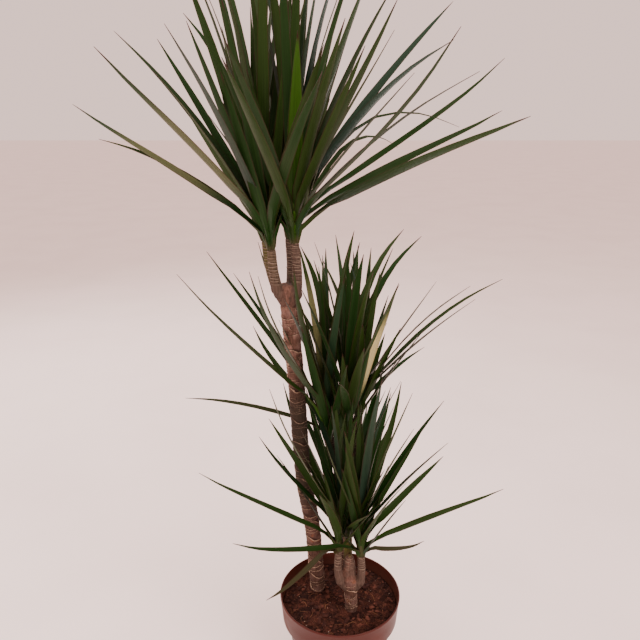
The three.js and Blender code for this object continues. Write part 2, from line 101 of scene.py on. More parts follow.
def span(tree, value, start, stop, low=0.0, high=1.0):
    """Value taken from the range start to stop into the range low to high, with soft ends."""
    sockets = {"Value": value, "From Min": start, "From Max": stop, "To Min": low, "To Max": high}
    return add_node(tree, "MapRange", sockets, interpolation_type="SMOOTHSTEP").outputs[0]


def work_out(tree, first, operation, second):
    """Two values brought together by a sum of any kind."""
    return add_node(tree, "Math", {0: first, 1: second}, operation=operation).outputs[0]


def product(tree, first, second):
    return work_out(tree, first, "MULTIPLY", second)


def noise_over(tree, place, scale, detail, roughness=0.5):
    """Cloudy noise over a place, finer the larger its scale."""
    sockets = {"Vector": place, "Scale": scale, "Detail": detail, "Roughness": roughness}
    return add_node(tree, "TexNoise", sockets).outputs[0]


def object_place(tree):
    return add_node(tree, "TexCoord").outputs["Object"]


def new_finish(name, shine, roughness=0.5):
    """A material with its own shader, and the tree to draw its patterns in."""
    finish = bpy.data.materials.new(name)
    finish.use_nodes = True
    shader = finish.node_tree.nodes["Principled BSDF"]
    shader.inputs["Roughness"].default_value = roughness
    shader.inputs["Specular IOR Level"].default_value = shine
    return finish, finish.node_tree, shader


def new_effect(name, inputs, outputs):
    """A node group with named inputs, given as defaults, and named outputs."""
    group = bpy.data.node_groups.new(name, "ShaderNodeTree")
    for socket, value in inputs.items():
        kind = "NodeSocketVector" if isinstance(value, tuple) else "NodeSocketFloat"
        made = group.interface.new_socket(socket, in_out="INPUT", socket_type=kind)
        made.default_value = value
    for socket in outputs:
        group.interface.new_socket(socket, in_out="OUTPUT", socket_type="NodeSocketFloat")
    entry = group.nodes.new("NodeGroupInput")
    leave = group.nodes.new("NodeGroupOutput")
    return group, entry.outputs, leave.inputs


def use_effect(tree, group, sockets):
    """The outputs of a group placed in a finish with its own values."""
    return add_node(tree, "Group", sockets, node_tree=group).outputs


def paint(piece, finish):
    """Gives a piece its one finish, in place of any that it has."""
    piece.data.materials.clear()
    piece.data.materials.append(finish)


# Mottle: a broad and a fine noise, as every worn, grown or crumbly surface here has.
MOTTLE_FINER = 7.3  # how much finer the fine noise is

mottle, given, made = new_effect("mottle", {"Place": (0.0, 0.0, 0.0), "Scale": 20.0}, ["Broad", "Fine"])
fine_scale = product(mottle, given["Scale"], MOTTLE_FINER)
mottle.links.new(noise_over(mottle, given["Place"], given["Scale"], 3.0), made["Broad"])
mottle.links.new(noise_over(mottle, given["Place"], fine_scale, 4.0), made["Fine"])

bpy.ops.object.select_all(action="DESELECT")
bpy.ops.mesh.primitive_plane_add(size=FLOOR_SIZE)
floor = bpy.context.object
floor.name = "floor"
floor_finish, tree, shader = new_finish("floor_paint", shine=0.3, roughness=0.7)
marks = use_effect(tree, mottle, {"Place": object_place(tree), "Scale": FLOOR_MOTTLE})
worn = span(tree, marks["Broad"], 0.35, 0.75)
tree.links.new(blend(tree, worn, FLOOR_COLOUR, FLOOR_WORN_COLOUR), shader.inputs["Base Color"])
paint(floor, floor_finish)

surround = bpy.data.worlds.new("surround")
surround.use_nodes = True
background = surround.node_tree.nodes["Background"]
background.inputs["Color"].default_value = SURROUND_COLOUR
background.inputs["Strength"].default_value = SURROUND_STRENGTH
bpy.context.scene.world = surround

for name, (place, size, power) in LAMPS.items():
    bpy.ops.object.light_add(type="AREA", location=place)
    lamp = bpy.context.object
    lamp.name = name
    lamp.data.size = size
    lamp.data.energy = power
    lamp.data.color = LAMP_COLOUR
    lamp.rotation_euler = (LAMP_AIM - Vector(place)).to_track_quat("-Z", "Y").to_euler()

# ---------- Pot ----------
# A round nursery pot, moulded in one piece from terracotta-coloured plastic, with a deep rim
# band that steps out over the wall. It is drawn up from its base, over the lip and down inside.
POT_SIDES = 128
POT_COLOUR = (0.052, 0.0100, 0.0062, 1)
POT_SCUFF_COLOUR = (0.098, 0.027, 0.0180, 1)
POT_DUST_COLOUR = (0.050, 0.0170, 0.0110, 1)
POT_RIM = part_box("pot")[1].x
POT_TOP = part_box("pot")[1].z
BAND_FOOT = POT_TOP - 0.052
DRAIN_COUNT = 8
DRAIN_SIDES = 24
DRAIN_RADIUS = 0.006
DRAIN_DEPTH = 0.02  # of the cutter, which reaches well past the base on both sides
DRAIN_CIRCLE = 0.062
DRAIN_SLOT = (0.026, 0.007, 0.0028)  # outwards, across and up
WALL_MIDDLE = (0.1004, 0.0905)  # a cone that runs inside the wall: radius at the base, and flare
POT_DUST_TOP = POT_TOP + 0.004  # the dust on the inner wall thins out towards this height
POT_DUST_REACH = 0.020

# Radius and height of each ring, from the base outside, over the lip, to the floor inside.
POT_BASE_RING = (0.0835, 0.0)
POT_RINGS = [
    (0.0850, 0.0003), (0.0858, 0.0011), (0.0861, 0.0026), (0.0950, 0.0705),
    (0.1046, BAND_FOOT - 0.0050), (0.1050, BAND_FOOT - 0.0034), (0.1062, BAND_FOOT - 0.0022),
    (0.1138, BAND_FOOT - 0.0016), (0.1148, BAND_FOOT - 0.0009), (0.1151, BAND_FOOT + 0.0006),
    (0.1172, BAND_FOOT + 0.0240), (POT_RIM - 0.0007, POT_TOP - 0.0052), (POT_RIM - 0.0002, POT_TOP - 0.0038),
    (POT_RIM, POT_TOP - 0.0022), (POT_RIM - 0.0003, POT_TOP - 0.0010), (POT_RIM - 0.0010, POT_TOP - 0.0002),
    (POT_RIM - 0.0018, POT_TOP), (POT_RIM - 0.0026, POT_TOP - 0.0005), (POT_RIM - 0.0030, POT_TOP - 0.0018),
    (0.1168, POT_TOP - 0.0048), (0.1126, BAND_FOOT + 0.0020), (0.1116, BAND_FOOT - 0.0004),
    (0.1034, BAND_FOOT - 0.0014), (0.1024, BAND_FOOT - 0.0030), (0.0838, 0.0085),
    (0.0824, 0.0048), (0.0796, 0.0032),
]


def draw_up(name, first, rings, sides):
    """Turned body: a disc extruded from ring to ring of radius and height."""
    bpy.ops.object.select_all(action="DESELECT")
    bpy.ops.mesh.primitive_circle_add(
        vertices=sides, radius=first[0], location=(0, 0, first[1]), fill_type="NGON")
    body = bpy.context.object
    body.name = name
    bpy.ops.object.transform_apply(location=True)
    bpy.ops.object.mode_set(mode="EDIT")
    bpy.ops.mesh.select_all(action="SELECT")
    radius, height = first
    for next_radius, next_height in rings:
        rise = (0, 0, next_height - height)
        bpy.ops.mesh.extrude_region_move(TRANSFORM_OT_translate={"value": rise})
        grow = next_radius / radius
        bpy.ops.transform.resize(value=(grow, grow, 1), center_override=(0, 0, next_height))
        radius, height = next_radius, next_height
    bpy.ops.mesh.select_all(action="SELECT")
    bpy.ops.mesh.normals_make_consistent(inside=False)
    bpy.ops.object.mode_set(mode="OBJECT")
    return body


def settle(piece, smooth_angle):
    """Puts a finished piece's place into its mesh and smooths all but its sharp edges."""
    bpy.ops.object.select_all(action="DESELECT")
    piece.select_set(True)
    bpy.context.view_layer.objects.active = piece
    bpy.ops.object.transform_apply(location=True, rotation=True, scale=True)
    bpy.ops.object.shade_smooth_by_angle(angle=math.radians(smooth_angle))


def change_by(piece, kind, **settings):
    """A modifier with its settings, applied to a piece."""
    step = piece.modifiers.new(kind, kind)
    for setting, value in settings.items():
        setattr(step, setting, value)
    bpy.context.view_layer.objects.active = piece
    bpy.ops.object.modifier_apply(modifier=step.name)


def emboss(tree, shader, relief, strength, depth):
    """Fine relief in a finish, to a depth in metres."""
    bumped = add_node(tree, "Bump", {"Strength": strength, "Distance": depth, "Height": relief}).outputs[0]
    tree.links.new(bumped, shader.inputs["Normal"])


pot = draw_up("nursery_pot", POT_BASE_RING, POT_RINGS, POT_SIDES)
cutters = []
for k in range(DRAIN_COUNT):
    turn = math.tau * k / DRAIN_COUNT
    hole = (DRAIN_CIRCLE * math.cos(turn), DRAIN_CIRCLE * math.sin(turn), 0)
    bpy.ops.mesh.primitive_cylinder_add(
        vertices=DRAIN_SIDES, radius=DRAIN_RADIUS, depth=DRAIN_DEPTH, location=hole)
    cutters.append(bpy.context.object)
    reach = DRAIN_CIRCLE + DRAIN_SLOT[0] / 2
    slot = (reach * math.cos(turn), reach * math.sin(turn), 0)
    bpy.ops.mesh.primitive_cube_add(size=1, location=slot, rotation=(0, 0, turn), scale=DRAIN_SLOT)
    cutters.append(bpy.context.object)
for cutter in cutters:
    change_by(pot, "BOOLEAN", operation="DIFFERENCE", object=cutter)
    bpy.data.objects.remove(cutter)
settle(pot, 35)

# Soil dust: clings to what stands in the soil or rises just above it. The mask is full from
# about Reach under Top, and thins upwards to nothing at Top, with its border torn by noise.
dust_inputs = {"Place": (0.0, 0.0, 0.0), "Top": 0.2, "Reach": 0.02}
soil_dust, given, made = new_effect("soil_dust", dust_inputs, ["Mask"])
height = add_node(soil_dust, "SeparateXYZ", {0: given["Place"]}).outputs[2]
ragged = noise_over(soil_dust, given["Place"], 140.0, 4.0)
drop = work_out(soil_dust, given["Top"], "SUBTRACT", height)
share = work_out(soil_dust, drop, "DIVIDE", given["Reach"])
torn = work_out(soil_dust, share, "ADD", work_out(soil_dust, ragged, "SUBTRACT", 0.62))
soil_dust.links.new(span(soil_dust, torn, 0.0, 1.0), made["Mask"])

# The plastic: scuffed and scratched round the pot, with soil dust on the inner wall.
pot_finish, tree, shader = new_finish("pot_plastic", shine=0.17)
place = object_place(tree)
marks = use_effect(tree, mottle, {"Place": place, "Scale": 14.0})
drawn = add_node(tree, "Mapping", {"Vector": place, "Scale": (1.0, 1.0, 9.0)}).outputs[0]
scratches = noise_over(tree, drawn, 60.0, 5.0, 0.7)
worn = span(tree, marks["Broad"], 0.48, 0.72, 0, 0.55)
scuffed = work_out(tree, worn, "ADD", span(tree, scratches, 0.6, 0.78, 0, 0.35))
plastic = blend(tree, scuffed, POT_COLOUR, POT_SCUFF_COLOUR)
height = add_node(tree, "SeparateXYZ", {0: place}).outputs[2]
flat = add_node(tree, "Mapping", {"Vector": place, "Scale": (1.0, 1.0, 0.0)}).outputs[0]
across = add_node(tree, "VectorMath", {0: flat}, operation="LENGTH").outputs["Value"]
wall = work_out(tree, product(tree, height, WALL_MIDDLE[1]), "ADD", WALL_MIDDLE[0])
inside = work_out(tree, across, "LESS_THAN", wall)
dust_sockets = {"Place": place, "Top": POT_DUST_TOP, "Reach": POT_DUST_REACH}
dust = use_effect(tree, soil_dust, dust_sockets)["Mask"]
dusty = product(tree, product(tree, dust, 0.9), inside)
tree.links.new(blend(tree, dusty, plastic, POT_DUST_COLOUR), shader.inputs["Base Color"])
tree.links.new(span(tree, scuffed, 0.0, 0.8, 0.40, 0.62), shader.inputs["Roughness"])
grained = work_out(tree, product(tree, marks["Fine"], 0.5), "ADD", scratches)
emboss(tree, shader, grained, strength=0.16, depth=0.0006)
paint(pot, pot_finish)
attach(pot, "root")
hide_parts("pot")

# ---------- Soil ----------
# Potting mix of coir and fine bark, dark red-brown and damp, filled to 25 mm under the rim. It
# is one body with a crumbled top, and loose bits of bark, fibre and grit are pressed in it.
SOIL_SIDES = 200
SOIL_TOP_RINGS = 52
SOIL_CROWDING = 0.85  # under 1 sets the rings of the top closer together at its edge
SOIL_TOP = 0.1748
SOIL_GAP = 0.0004  # between the soil and the wall of the pot
SOIL_EDGE = 0.1147  # radius of the wall's inside at the top of the soil
MOUND_HEIGHT = 0.0032
MOUND_FINENESS = 22
CRUMB_HEIGHT = 0.0019
CRUMB_FINENESS = 130
CRUMB_SHIFT = Vector((3, 5, 1))  # keeps the crumbs' noise apart from the mounds'
HEAP_HEIGHT = 0.003  # of the soil firmed round each cane
HEAP_REACH = 0.010
SOIL_DARK = (0.0215, 0.0078, 0.0060, 1)
SOIL_RED = (0.070, 0.0235, 0.0155, 1)
SOIL_STRAW = (0.110, 0.044, 0.0260, 1)
CANE_FEET = [(-0.045, 0.035, 0.0142), (0.011, 0.055, 0.0136), (0.022, -0.024, 0.0138)]  # x, y, radius

SOIL_BASE_RING = (0.0790, 0.0036)
SOIL_RIM = SOIL_EDGE - SOIL_GAP
SOIL_RINGS = [
    (0.0831, 0.0090), (0.1018, BAND_FOOT - 0.0026), (0.1026, BAND_FOOT - 0.0008),
    (0.1110, BAND_FOOT + 0.0002), (0.1120, BAND_FOOT + 0.0024), (SOIL_RIM, SOIL_TOP - 0.0015),
]
for k in range(1, SOIL_TOP_RINGS):
    SOIL_RINGS.append((SOIL_RIM * (1 - k / SOIL_TOP_RINGS) ** SOIL_CROWDING, SOIL_TOP))


def from_canes(x, y):
    """How far a spot on the soil is from the skin of each cane."""
    return [math.hypot(x - foot_x, y - foot_y) - radius for foot_x, foot_y, radius in CANE_FEET]


def soil_height(x, y):
    """Top of the soil: low mounds, soil heaped round the canes, and crumbs."""
    spot = Vector((x, y, 0))
    mounds = MOUND_HEIGHT * noise.fractal(spot * MOUND_FINENESS, 1.0, 2.0, 2)
    crumbs = CRUMB_HEIGHT * noise.fractal(spot * CRUMB_FINENESS + CRUMB_SHIFT, 0.7, 2.1, 4)
    heaped = sum(HEAP_HEIGHT * math.exp(-(gap / HEAP_REACH) ** 2) for gap in from_canes(x, y))
    level = 1 - (math.hypot(x, y) / SOIL_EDGE) ** 6  # 0 at the wall, so that no mound climbs it
    return SOIL_TOP + level * (mounds + heaped) + crumbs * min(1, 0.35 + level)


def shade(tree, colour, factor):
    """Colour multiplied by a factor that varies over the surface."""
    grey = add_node(tree, "CombineXYZ", {0: factor, 1: factor, 2: factor}).outputs[0]
    sockets = {0: 1.0, 6: colour, 7: grey}
    return add_node(tree, "Mix", sockets, data_type="RGBA", blend_type="MULTIPLY").outputs[2]


soil = draw_up("potting_soil", SOIL_BASE_RING, SOIL_RINGS, SOIL_SIDES)
for corner in soil.data.vertices:
    if corner.co.z > SOIL_TOP - 0.001:  # all of the top, and not the ring under it
        corner.co.z = soil_height(corner.co.x, corner.co.y)
settle(soil, 180)

soil_finish, tree, shader = new_finish("potting_soil", shine=0.08, roughness=0.92)
place = object_place(tree)
clods = use_effect(tree, mottle, {"Place": place, "Scale": 55.0})
grains = add_node(tree, "TexVoronoi", {"Vector": place, "Scale": 420.0}, feature="F1").outputs["Distance"]
earth = blend(tree, span(tree, clods["Broad"], 0.36, 0.66), SOIL_DARK, SOIL_RED)
earth = blend(tree, span(tree, clods["Fine"], 0.60, 0.80, 0, 0.55), earth, SOIL_STRAW)
earth = shade(tree, earth, span(tree, grains, 0.1, 0.8, 1.15, 0.45))
tree.links.new(earth, shader.inputs["Base Color"])
crumbly = work_out(tree, clods["Fine"], "ADD", product(tree, grains, -0.5))
emboss(tree, shader, crumbly, strength=0.9, depth=0.0016)
paint(soil, soil_finish)
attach(soil, "root")
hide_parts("soil")

# Loose bits: each kind has a few shapes, made once, then copied, turned and pressed in.
BIT_SHAPES = 5
BIT_CROWDING = 2.2  # over 1 makes small bits more common than big ones
BIT_SPREAD = (0.7, 1.3)  # of the widths and thicknesses
BIT_LIFT = 0.25  # of its thickness, from the soil to a bit's middle
BIT_TILT = 0.5  # radians
BIT_MARGIN = 0.0015  # kept free of bits along the wall
CHIP_ROUGHNESS = 0.16
FIBRE_TILT = 0.12
FIBRE_CUTS = (-0.3, -0.1, 0.1, 0.3)  # where a strand has its bends
BIT_KINDS = {
    # name: (how many, shortest, longest, width and thickness as shares of the length, the
    # darkest and the palest colour)
    "bark_chips": (560, 0.0034, 0.0150, 0.60, 0.36, (0.027, 0.0090, 0.0066, 1), (0.100, 0.0340, 0.0215, 1)),
    "coir_fibres": (260, 0.0070, 0.0260, 0.045, 0.040, (0.050, 0.0180, 0.0090, 1), (0.170, 0.075, 0.036, 1)),
    "pale_grit": (46, 0.0011, 0.0030, 0.80, 0.65, (0.20, 0.13, 0.09, 1), (0.38, 0.30, 0.25, 1)),
}
draw = random.Random(7)


def join_pieces(pieces, name):
    """All the pieces joined into the first one."""
    bpy.ops.object.select_all(action="DESELECT")
    for piece in pieces:
        piece.select_set(True)
    bpy.context.view_layer.objects.active = pieces[0]
    bpy.ops.object.join()
    whole = bpy.context.object
    whole.name = name
    return whole


def write_note(piece, name, values):
    """Values for the corners of a piece, or one for all of them, that its finish reads by name."""
    note = piece.data.attributes.new(name, "FLOAT", "POINT")
    spread = np.broadcast_to(np.asarray(values, np.float32), len(piece.data.vertices))
    note.data.foreach_set("value", np.array(spread))


def read_note(tree, name):
    return add_node(tree, "Attribute", attribute_name=name).outputs["Fac"]


def ring_cuts(direction, places):
    """Rings of edges round the active piece, at places along a direction."""
    bpy.ops.object.mode_set(mode="EDIT")
    for place in places:
        bpy.ops.mesh.select_all(action="SELECT")
        bpy.ops.mesh.bisect(plane_co=Vector(direction) * place, plane_no=direction)
    bpy.ops.object.mode_set(mode="OBJECT")


def chip_shape(seed):
    """A broken lump of twenty faces, one unit across."""
    bpy.ops.object.select_all(action="DESELECT")
    bpy.ops.mesh.primitive_ico_sphere_add(subdivisions=1, radius=0.5)
    lump = bpy.context.object
    bpy.ops.object.mode_set(mode="EDIT")
    bpy.ops.transform.vertex_random(offset=CHIP_ROUGHNESS, seed=seed)
    bpy.ops.object.mode_set(mode="OBJECT")
    return lump


def fibre_shape(seed):
    """A crooked strand along X, one unit long and one thick, with its bends drawn at random."""
    bpy.ops.object.select_all(action="DESELECT")
    bpy.ops.mesh.primitive_cone_add(
        vertices=4, radius1=0.5, radius2=0.32, depth=1, rotation=(0, math.radians(90), 0))
    strand = bpy.context.object
    bpy.ops.object.transform_apply(rotation=True)
    ring_cuts((1, 0, 0), FIBRE_CUTS)
    bends = random.Random(seed)
    sway, arch, wave = bends.uniform(-9, 9), bends.uniform(0.5, 3.5), bends.uniform(-2.5, 2.5)
    for corner in strand.data.vertices:
        along = corner.co.x
        corner.co.y += sway * (0.25 - along * along) + wave * math.sin(6 * along)
        corner.co.z += arch * (0.25 - along * along) * 4
    return strand


def press_in(shape, x, y, size, wide, thick, tilt):
    """A copy of a loose shape, turned at random and pressed into the soil at a spot."""
    bit = shape.copy()
    bit.data = shape.data.copy()
    bpy.context.collection.objects.link(bit)
    bit.scale = (size, size * wide * draw.uniform(*BIT_SPREAD), size * thick * draw.uniform(*BIT_SPREAD))
    bit.rotation_euler = (draw.uniform(-tilt, tilt), draw.uniform(-tilt, tilt), draw.uniform(0, math.tau))
    bit.location = (x, y, soil_height(x, y) + BIT_LIFT * bit.scale.z)
    write_note(bit, "tone", draw.random())
    return bit


def scatter(kind, count, shortest, longest, wide, thick):
    """All the bits of one kind, joined, in the top of the soil."""
    make, tilt = (fibre_shape, FIBRE_TILT) if kind == "coir_fibres" else (chip_shape, BIT_TILT)
    shapes = [make(seed) for seed in range(BIT_SHAPES)]
    bits = []
    while len(bits) < count:
        size = shortest + (longest - shortest) * draw.random() ** BIT_CROWDING
        turn = draw.uniform(0, math.tau)
        out = (SOIL_EDGE - BIT_MARGIN - 0.5 * size) * math.sqrt(draw.random())
        x, y = out * math.cos(turn), out * math.sin(turn)
        if min(from_canes(x, y)) >= 0.5 * size:
            bits.append(press_in(draw.choice(shapes), x, y, size, wide, thick, tilt))
    for shape in shapes:
        bpy.data.objects.remove(shape)
    loose = join_pieces(bits, kind)
    settle(loose, 40)
    return loose


for kind, (*sizes, dark, pale) in BIT_KINDS.items():
    loose = scatter(kind, *sizes)
    finish, tree, shader = new_finish(kind, shine=0.12, roughness=0.85)
    grain = use_effect(tree, mottle, {"Place": object_place(tree), "Scale": 160.0})
    tone = read_note(tree, "tone")
    colour = blend(tree, product(tree, tone, tone), dark, pale)
    colour = shade(tree, colour, span(tree, grain["Broad"], 0.3, 0.7, 0.6, 1.25))
    tree.links.new(colour, shader.inputs["Base Color"])
    emboss(tree, shader, grain["Fine"], strength=0.5, depth=0.0004)
    paint(loose, finish)
    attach(loose, "root")

# ---------- Canes ----------
# Three woody canes, each grown as one body with the bare lower stems of its shoots and a knob of
# callus at the cut top. Fallen leaves have left rings: a pale lip, and a groove in painted scar colour and
# shade.
MM = 0.001
# The lines of canes and shoots, the knobs and the radii, in mm, with the pot's underside at 0.
CANES = {
    "cane_tall": {
        "line": [(-45, 35, 184), (-47, 35, 215), (-56, 35, 334), (-71, 35, 428), (-78, 35, 525),
                 (-84, 35, 640), (-92, 35, 740), (-96, 35, 800), (-97, 35, 828)],
        "radii": (15.1, 15.9),
        "callus": ((-97, 29, 807), (15, 15, 24)),
        "shoots": {
            "tall_head_left_front": (
                [(-99, 30, 790), (-111, 25, 813), (-120, 22, 850), (-124, 22, 893)], 7.9),
            "tall_head_left_back": (
                [(-100, 42, 790), (-117, 51, 815), (-130, 58, 855), (-136, 61, 900)], 8.4),
            "tall_head_right_front": ([(-93, 30, 788), (-82, 24, 812), (-80, 26, 855), (-84, 28, 903)], 8.0),
            "tall_head_right_back": ([(-95, 42, 788), (-92, 53, 815), (-91, 60, 858), (-94, 62, 905)], 8.2),
        },
    },
    "cane_middle": {
        "line": [(11, 55, 184), (10, 55, 215), (6, 55, 330), (3, 55, 420), (3, 55, 476)],
        "radii": (13.6, 13.8),
        "callus": ((3, 53, 458), (15, 15, 21)),
        "shoots": {
            "middle_head_left": ([(0, 53, 445), (-12, 50, 468), (-19, 48, 492), (-22, 48, 520)], 9),
            "middle_head_front": ([(4, 50, 445), (10, 42, 470), (13, 40, 502), (13, 40, 538)], 9),
            "middle_head_right": ([(5, 58, 445), (20, 62, 470), (30, 63, 512), (34, 63, 558)], 9),
        },
    },
    "cane_short": {
        "line": [(22, -24, 184), (21, -24, 205), (20, -24, 225), (19, -24, 248)],
        "radii": (11.8, 13.0),
        "callus": ((17, -21, 266), (13, 12.5, 38)),
        "shoots": {
            "short_head_left": ([(13, -25, 228), (0, -26, 246), (-5, -26, 270), (-4.5, -26, 316)], 7.0),
            "short_head_right": ([(27, -25, 228), (38, -26, 244), (40.5, -27, 268), (39, -27, 306)], 7.2),
            "short_head_back": ([(18, -20, 228), (17, -10, 252), (15, -5, 285), (15, -3, 328)], 8.0),
        },
    },
}
BURIED_HEIGHTS = (70, 130)  # mm, two points of the straight buried end of every cane
CANE_STRETCH = 3  # mm between the points of a cane's line
SHOOT_POINTS = 40
STEM_ROUNDNESS = 6
SHOOT_FLARE = 1.25  # radius of a shoot at its foot, to the rest
COLLAR_SHARE = 1.42  # radius of the swelling where a shoot leaves its cane, to the shoot's own
KNOB_ROUGHNESS = (0.0022, 110)  # height and fineness of the lumps on the callus
VOXEL = 0.00125
SKIN_SMOOTHING = 20

CANE_PITCH = (0.0125, 0.0088)  # between rings, at the foot and at the top of a cane
SHOOT_PITCH = (0.0080, 0.0036)  # the same on a shoot
CANE_TILT = 0.0036  # how far a ring rises and falls on its way round
SHOOT_TILT = 0.0008
CANE_LIP = 0.00100
SHOOT_LIP = 0.00040
STEM_RINGS = 100  # sets the ring numbers of one stem apart from the next one's
CUT_TOPS = {"cane_tall": 0.016, "cane_middle": 0.010, "cane_short": 0.004}  # with no rings
CANE_ONSET = 0.012  # the stretch under them in which the rings begin
BARE_FEET = {"short_head_left": 0.50, "short_head_right": 0.50, "short_head_back": 0.86}
BARE_FOOT = 0.36  # the lower share with no rings, of shoots that BARE_FEET doesn't name
SHOOT_ONSET = 0.14  # the share above it in which the rings begin
GREEN_SHOOTS = {"tall_head_left_back": 0.85, "tall_head_left_front": 0.25, "short_head_back": 1.0}
GREEN_FROM = 0.30  # of a shoot's length, from where its bark turns green
GREEN_ONSET = 0.5


def line_through(points, count):
    """Evenly spaced points of a smooth line through the given ones."""
    known = np.array(points, float) * MM
    known = np.vstack([2 * known[0] - known[1], known, 2 * known[-1] - known[-2]])
    line = []
    for before, start, stop, after in zip(known, known[1:], known[2:], known[3:]):
        for t in np.linspace(0, 1, 16, endpoint=False):
            bend = (2 * before - 5 * start + 4 * stop - after) * t * t
            twist = (3 * start - before - 3 * stop + after) * t ** 3
            line.append(0.5 * (2 * start + (stop - before) * t + bend + twist))
    line = np.array([*line, known[-2]])
    run = np.concatenate([[0], np.cumsum(np.linalg.norm(np.diff(line, axis=0), axis=1))])
    even = np.linspace(0, run[-1], count)
    return np.stack([np.interp(even, run, line[:, k]) for k in range(3)], axis=1), even


def stem_tube(points, radii, count):
    """A round stem along a smooth line, as a mesh, with the line, its run and its radii."""
    line, run = line_through(points, count)
    thickness = np.interp(run, [0, run[-1]], np.array(radii) * MM)
    bpy.ops.object.select_all(action="DESELECT")
    bpy.ops.curve.primitive_nurbs_path_add()
    stem = bpy.context.object
    stem.data.splines.clear()
    route = stem.data.splines.new("POLY")
    route.points.add(count - 1)
    for point, place, radius in zip(route.points, line, thickness):
        point.co = (*place, 1)
        point.radius = radius
    stem.data.bevel_depth = 1.0
    stem.data.bevel_resolution = STEM_ROUNDNESS
    stem.data.use_fill_caps = True
    bpy.ops.object.convert(target="MESH")
    return stem, {"line": line, "run": run, "radius": thickness}


def callus_knob(place, size):
    """The lumpy swelling at a cane's cut top."""
    bpy.ops.mesh.primitive_ico_sphere_add(
        subdivisions=4, location=Vector(place) * MM, scale=Vector(size) * MM)
    knob = bpy.context.object
    bpy.ops.object.transform_apply(location=True, scale=True)
    height, fineness = KNOB_ROUGHNESS
    for corner in knob.data.vertices:
        corner.co += height * noise.fractal(corner.co * fineness, 1.0, 2.0, 3) * corner.normal
    return knob


def shoot_collar(place, radius):
    """The swelling where a shoot leaves its cane."""
    bpy.ops.mesh.primitive_ico_sphere_add(
        subdivisions=3, radius=COLLAR_SHARE * radius * MM, location=Vector(place) * MM)
    return bpy.context.object


def grow_cane(name):
    """One cane with its shoots, as one skin."""
    cane = CANES[name]
    foot_x, foot_y, _ = cane["line"][0]
    buried = [(foot_x, foot_y, height) for height in BURIED_HEIGHTS]
    length = cane["line"][-1][2] - BURIED_HEIGHTS[0]
    tube, trunk = stem_tube(buried + cane["line"], cane["radii"], int(length / CANE_STRETCH))
    parts, stems = [tube, callus_knob(*cane["callus"])], [trunk]
    for head, (points, radius) in cane["shoots"].items():
        tube, stem = stem_tube(points, (radius * SHOOT_FLARE, radius), SHOOT_POINTS)
        stem["head"] = head
        parts += [tube, shoot_collar(points[1], radius)]
        stems.append(stem)
    whole = join_pieces(parts, name + "_bark")
    change_by(whole, "REMESH", mode="VOXEL", voxel_size=VOXEL)
    change_by(whole, "SMOOTH", iterations=SKIN_SMOOTHING)
    carve_rings(whole, cane, stems, CUT_TOPS[name])
    settle(whole, 180)
    return whole


def ring_phase(run, around, length, pitches, tilt, seed):
    """Number of the ring below each point, with the share of the way to the next one. Rings
    are unevenly spaced, wave a little, and each is tilted another way than the one before."""
    drawn = random.Random(seed)
    marks = [0.0]
    while marks[-1] < length:
        pitch = pitches[0] + (pitches[1] - pitches[0]) * (marks[-1] / length)
        marks.append(marks[-1] + pitch * drawn.uniform(0.5, 1.5))
    count = np.arange(len(marks))
    rough_phase = np.interp(run, marks, count)
    wave = 0.25 * np.sin(2 * around + 1.7 * rough_phase) + 0.12 * np.sin(5 * around + 4.1 * rough_phase)
    shifted = run + tilt * (np.cos(around - 2.4 * rough_phase) + wave)
    return np.interp(shifted, marks, count)


def read_stem(place, stem, number, seed, bare_top):
    """What one stem, the cane itself or a shoot, would give each point of the skin: how far the
    point is from it, its ring, the height of the ring's lip, how green the bark is, and the way
    out of the stem."""
    x, y, z = place.T
    rise = stem["line"][:, 2]
    cx, cy = np.interp(z, rise, stem["line"][:, 0]), np.interp(z, rise, stem["line"][:, 1])
    radius, run = np.interp(z, rise, stem["radius"]), np.interp(z, rise, stem["run"])
    away = np.hypot(x - cx, y - cy)
    outside = np.maximum(rise[0] - z, z - rise[-1])
    around = np.arctan2(y - cy, x - cx)
    share = run / stem["run"][-1]
    is_shoot = "head" in stem
    if is_shoot:
        lip, pitches, tilt = SHOOT_LIP, SHOOT_PITCH, SHOOT_TILT
        clear = np.clip((share - BARE_FEET.get(stem["head"], BARE_FOOT)) / SHOOT_ONSET, 0, 1)
    else:
        lip, pitches, tilt = CANE_LIP, CANE_PITCH, CANE_TILT
        clear = np.clip((rise[-1] - bare_top - z) / CANE_ONSET, 0, 1)
    rings = ring_phase(run, around, stem["run"][-1], pitches, tilt, seed)
    green = GREEN_SHOOTS.get(stem.get("head"), 0.0)
    return {
        "gap": np.maximum(np.abs(away - radius), outside),
        "ring": rings + STEM_RINGS * number,
        "lip": lip * clear,
        "shoot": np.full(len(z), float(is_shoot)),
        "green": green * np.clip((share - GREEN_FROM) / GREEN_ONSET, 0, 1),
        "out_x": (x - cx) / (away + 1e-9),
        "out_y": (y - cy) / (away + 1e-9),
    }


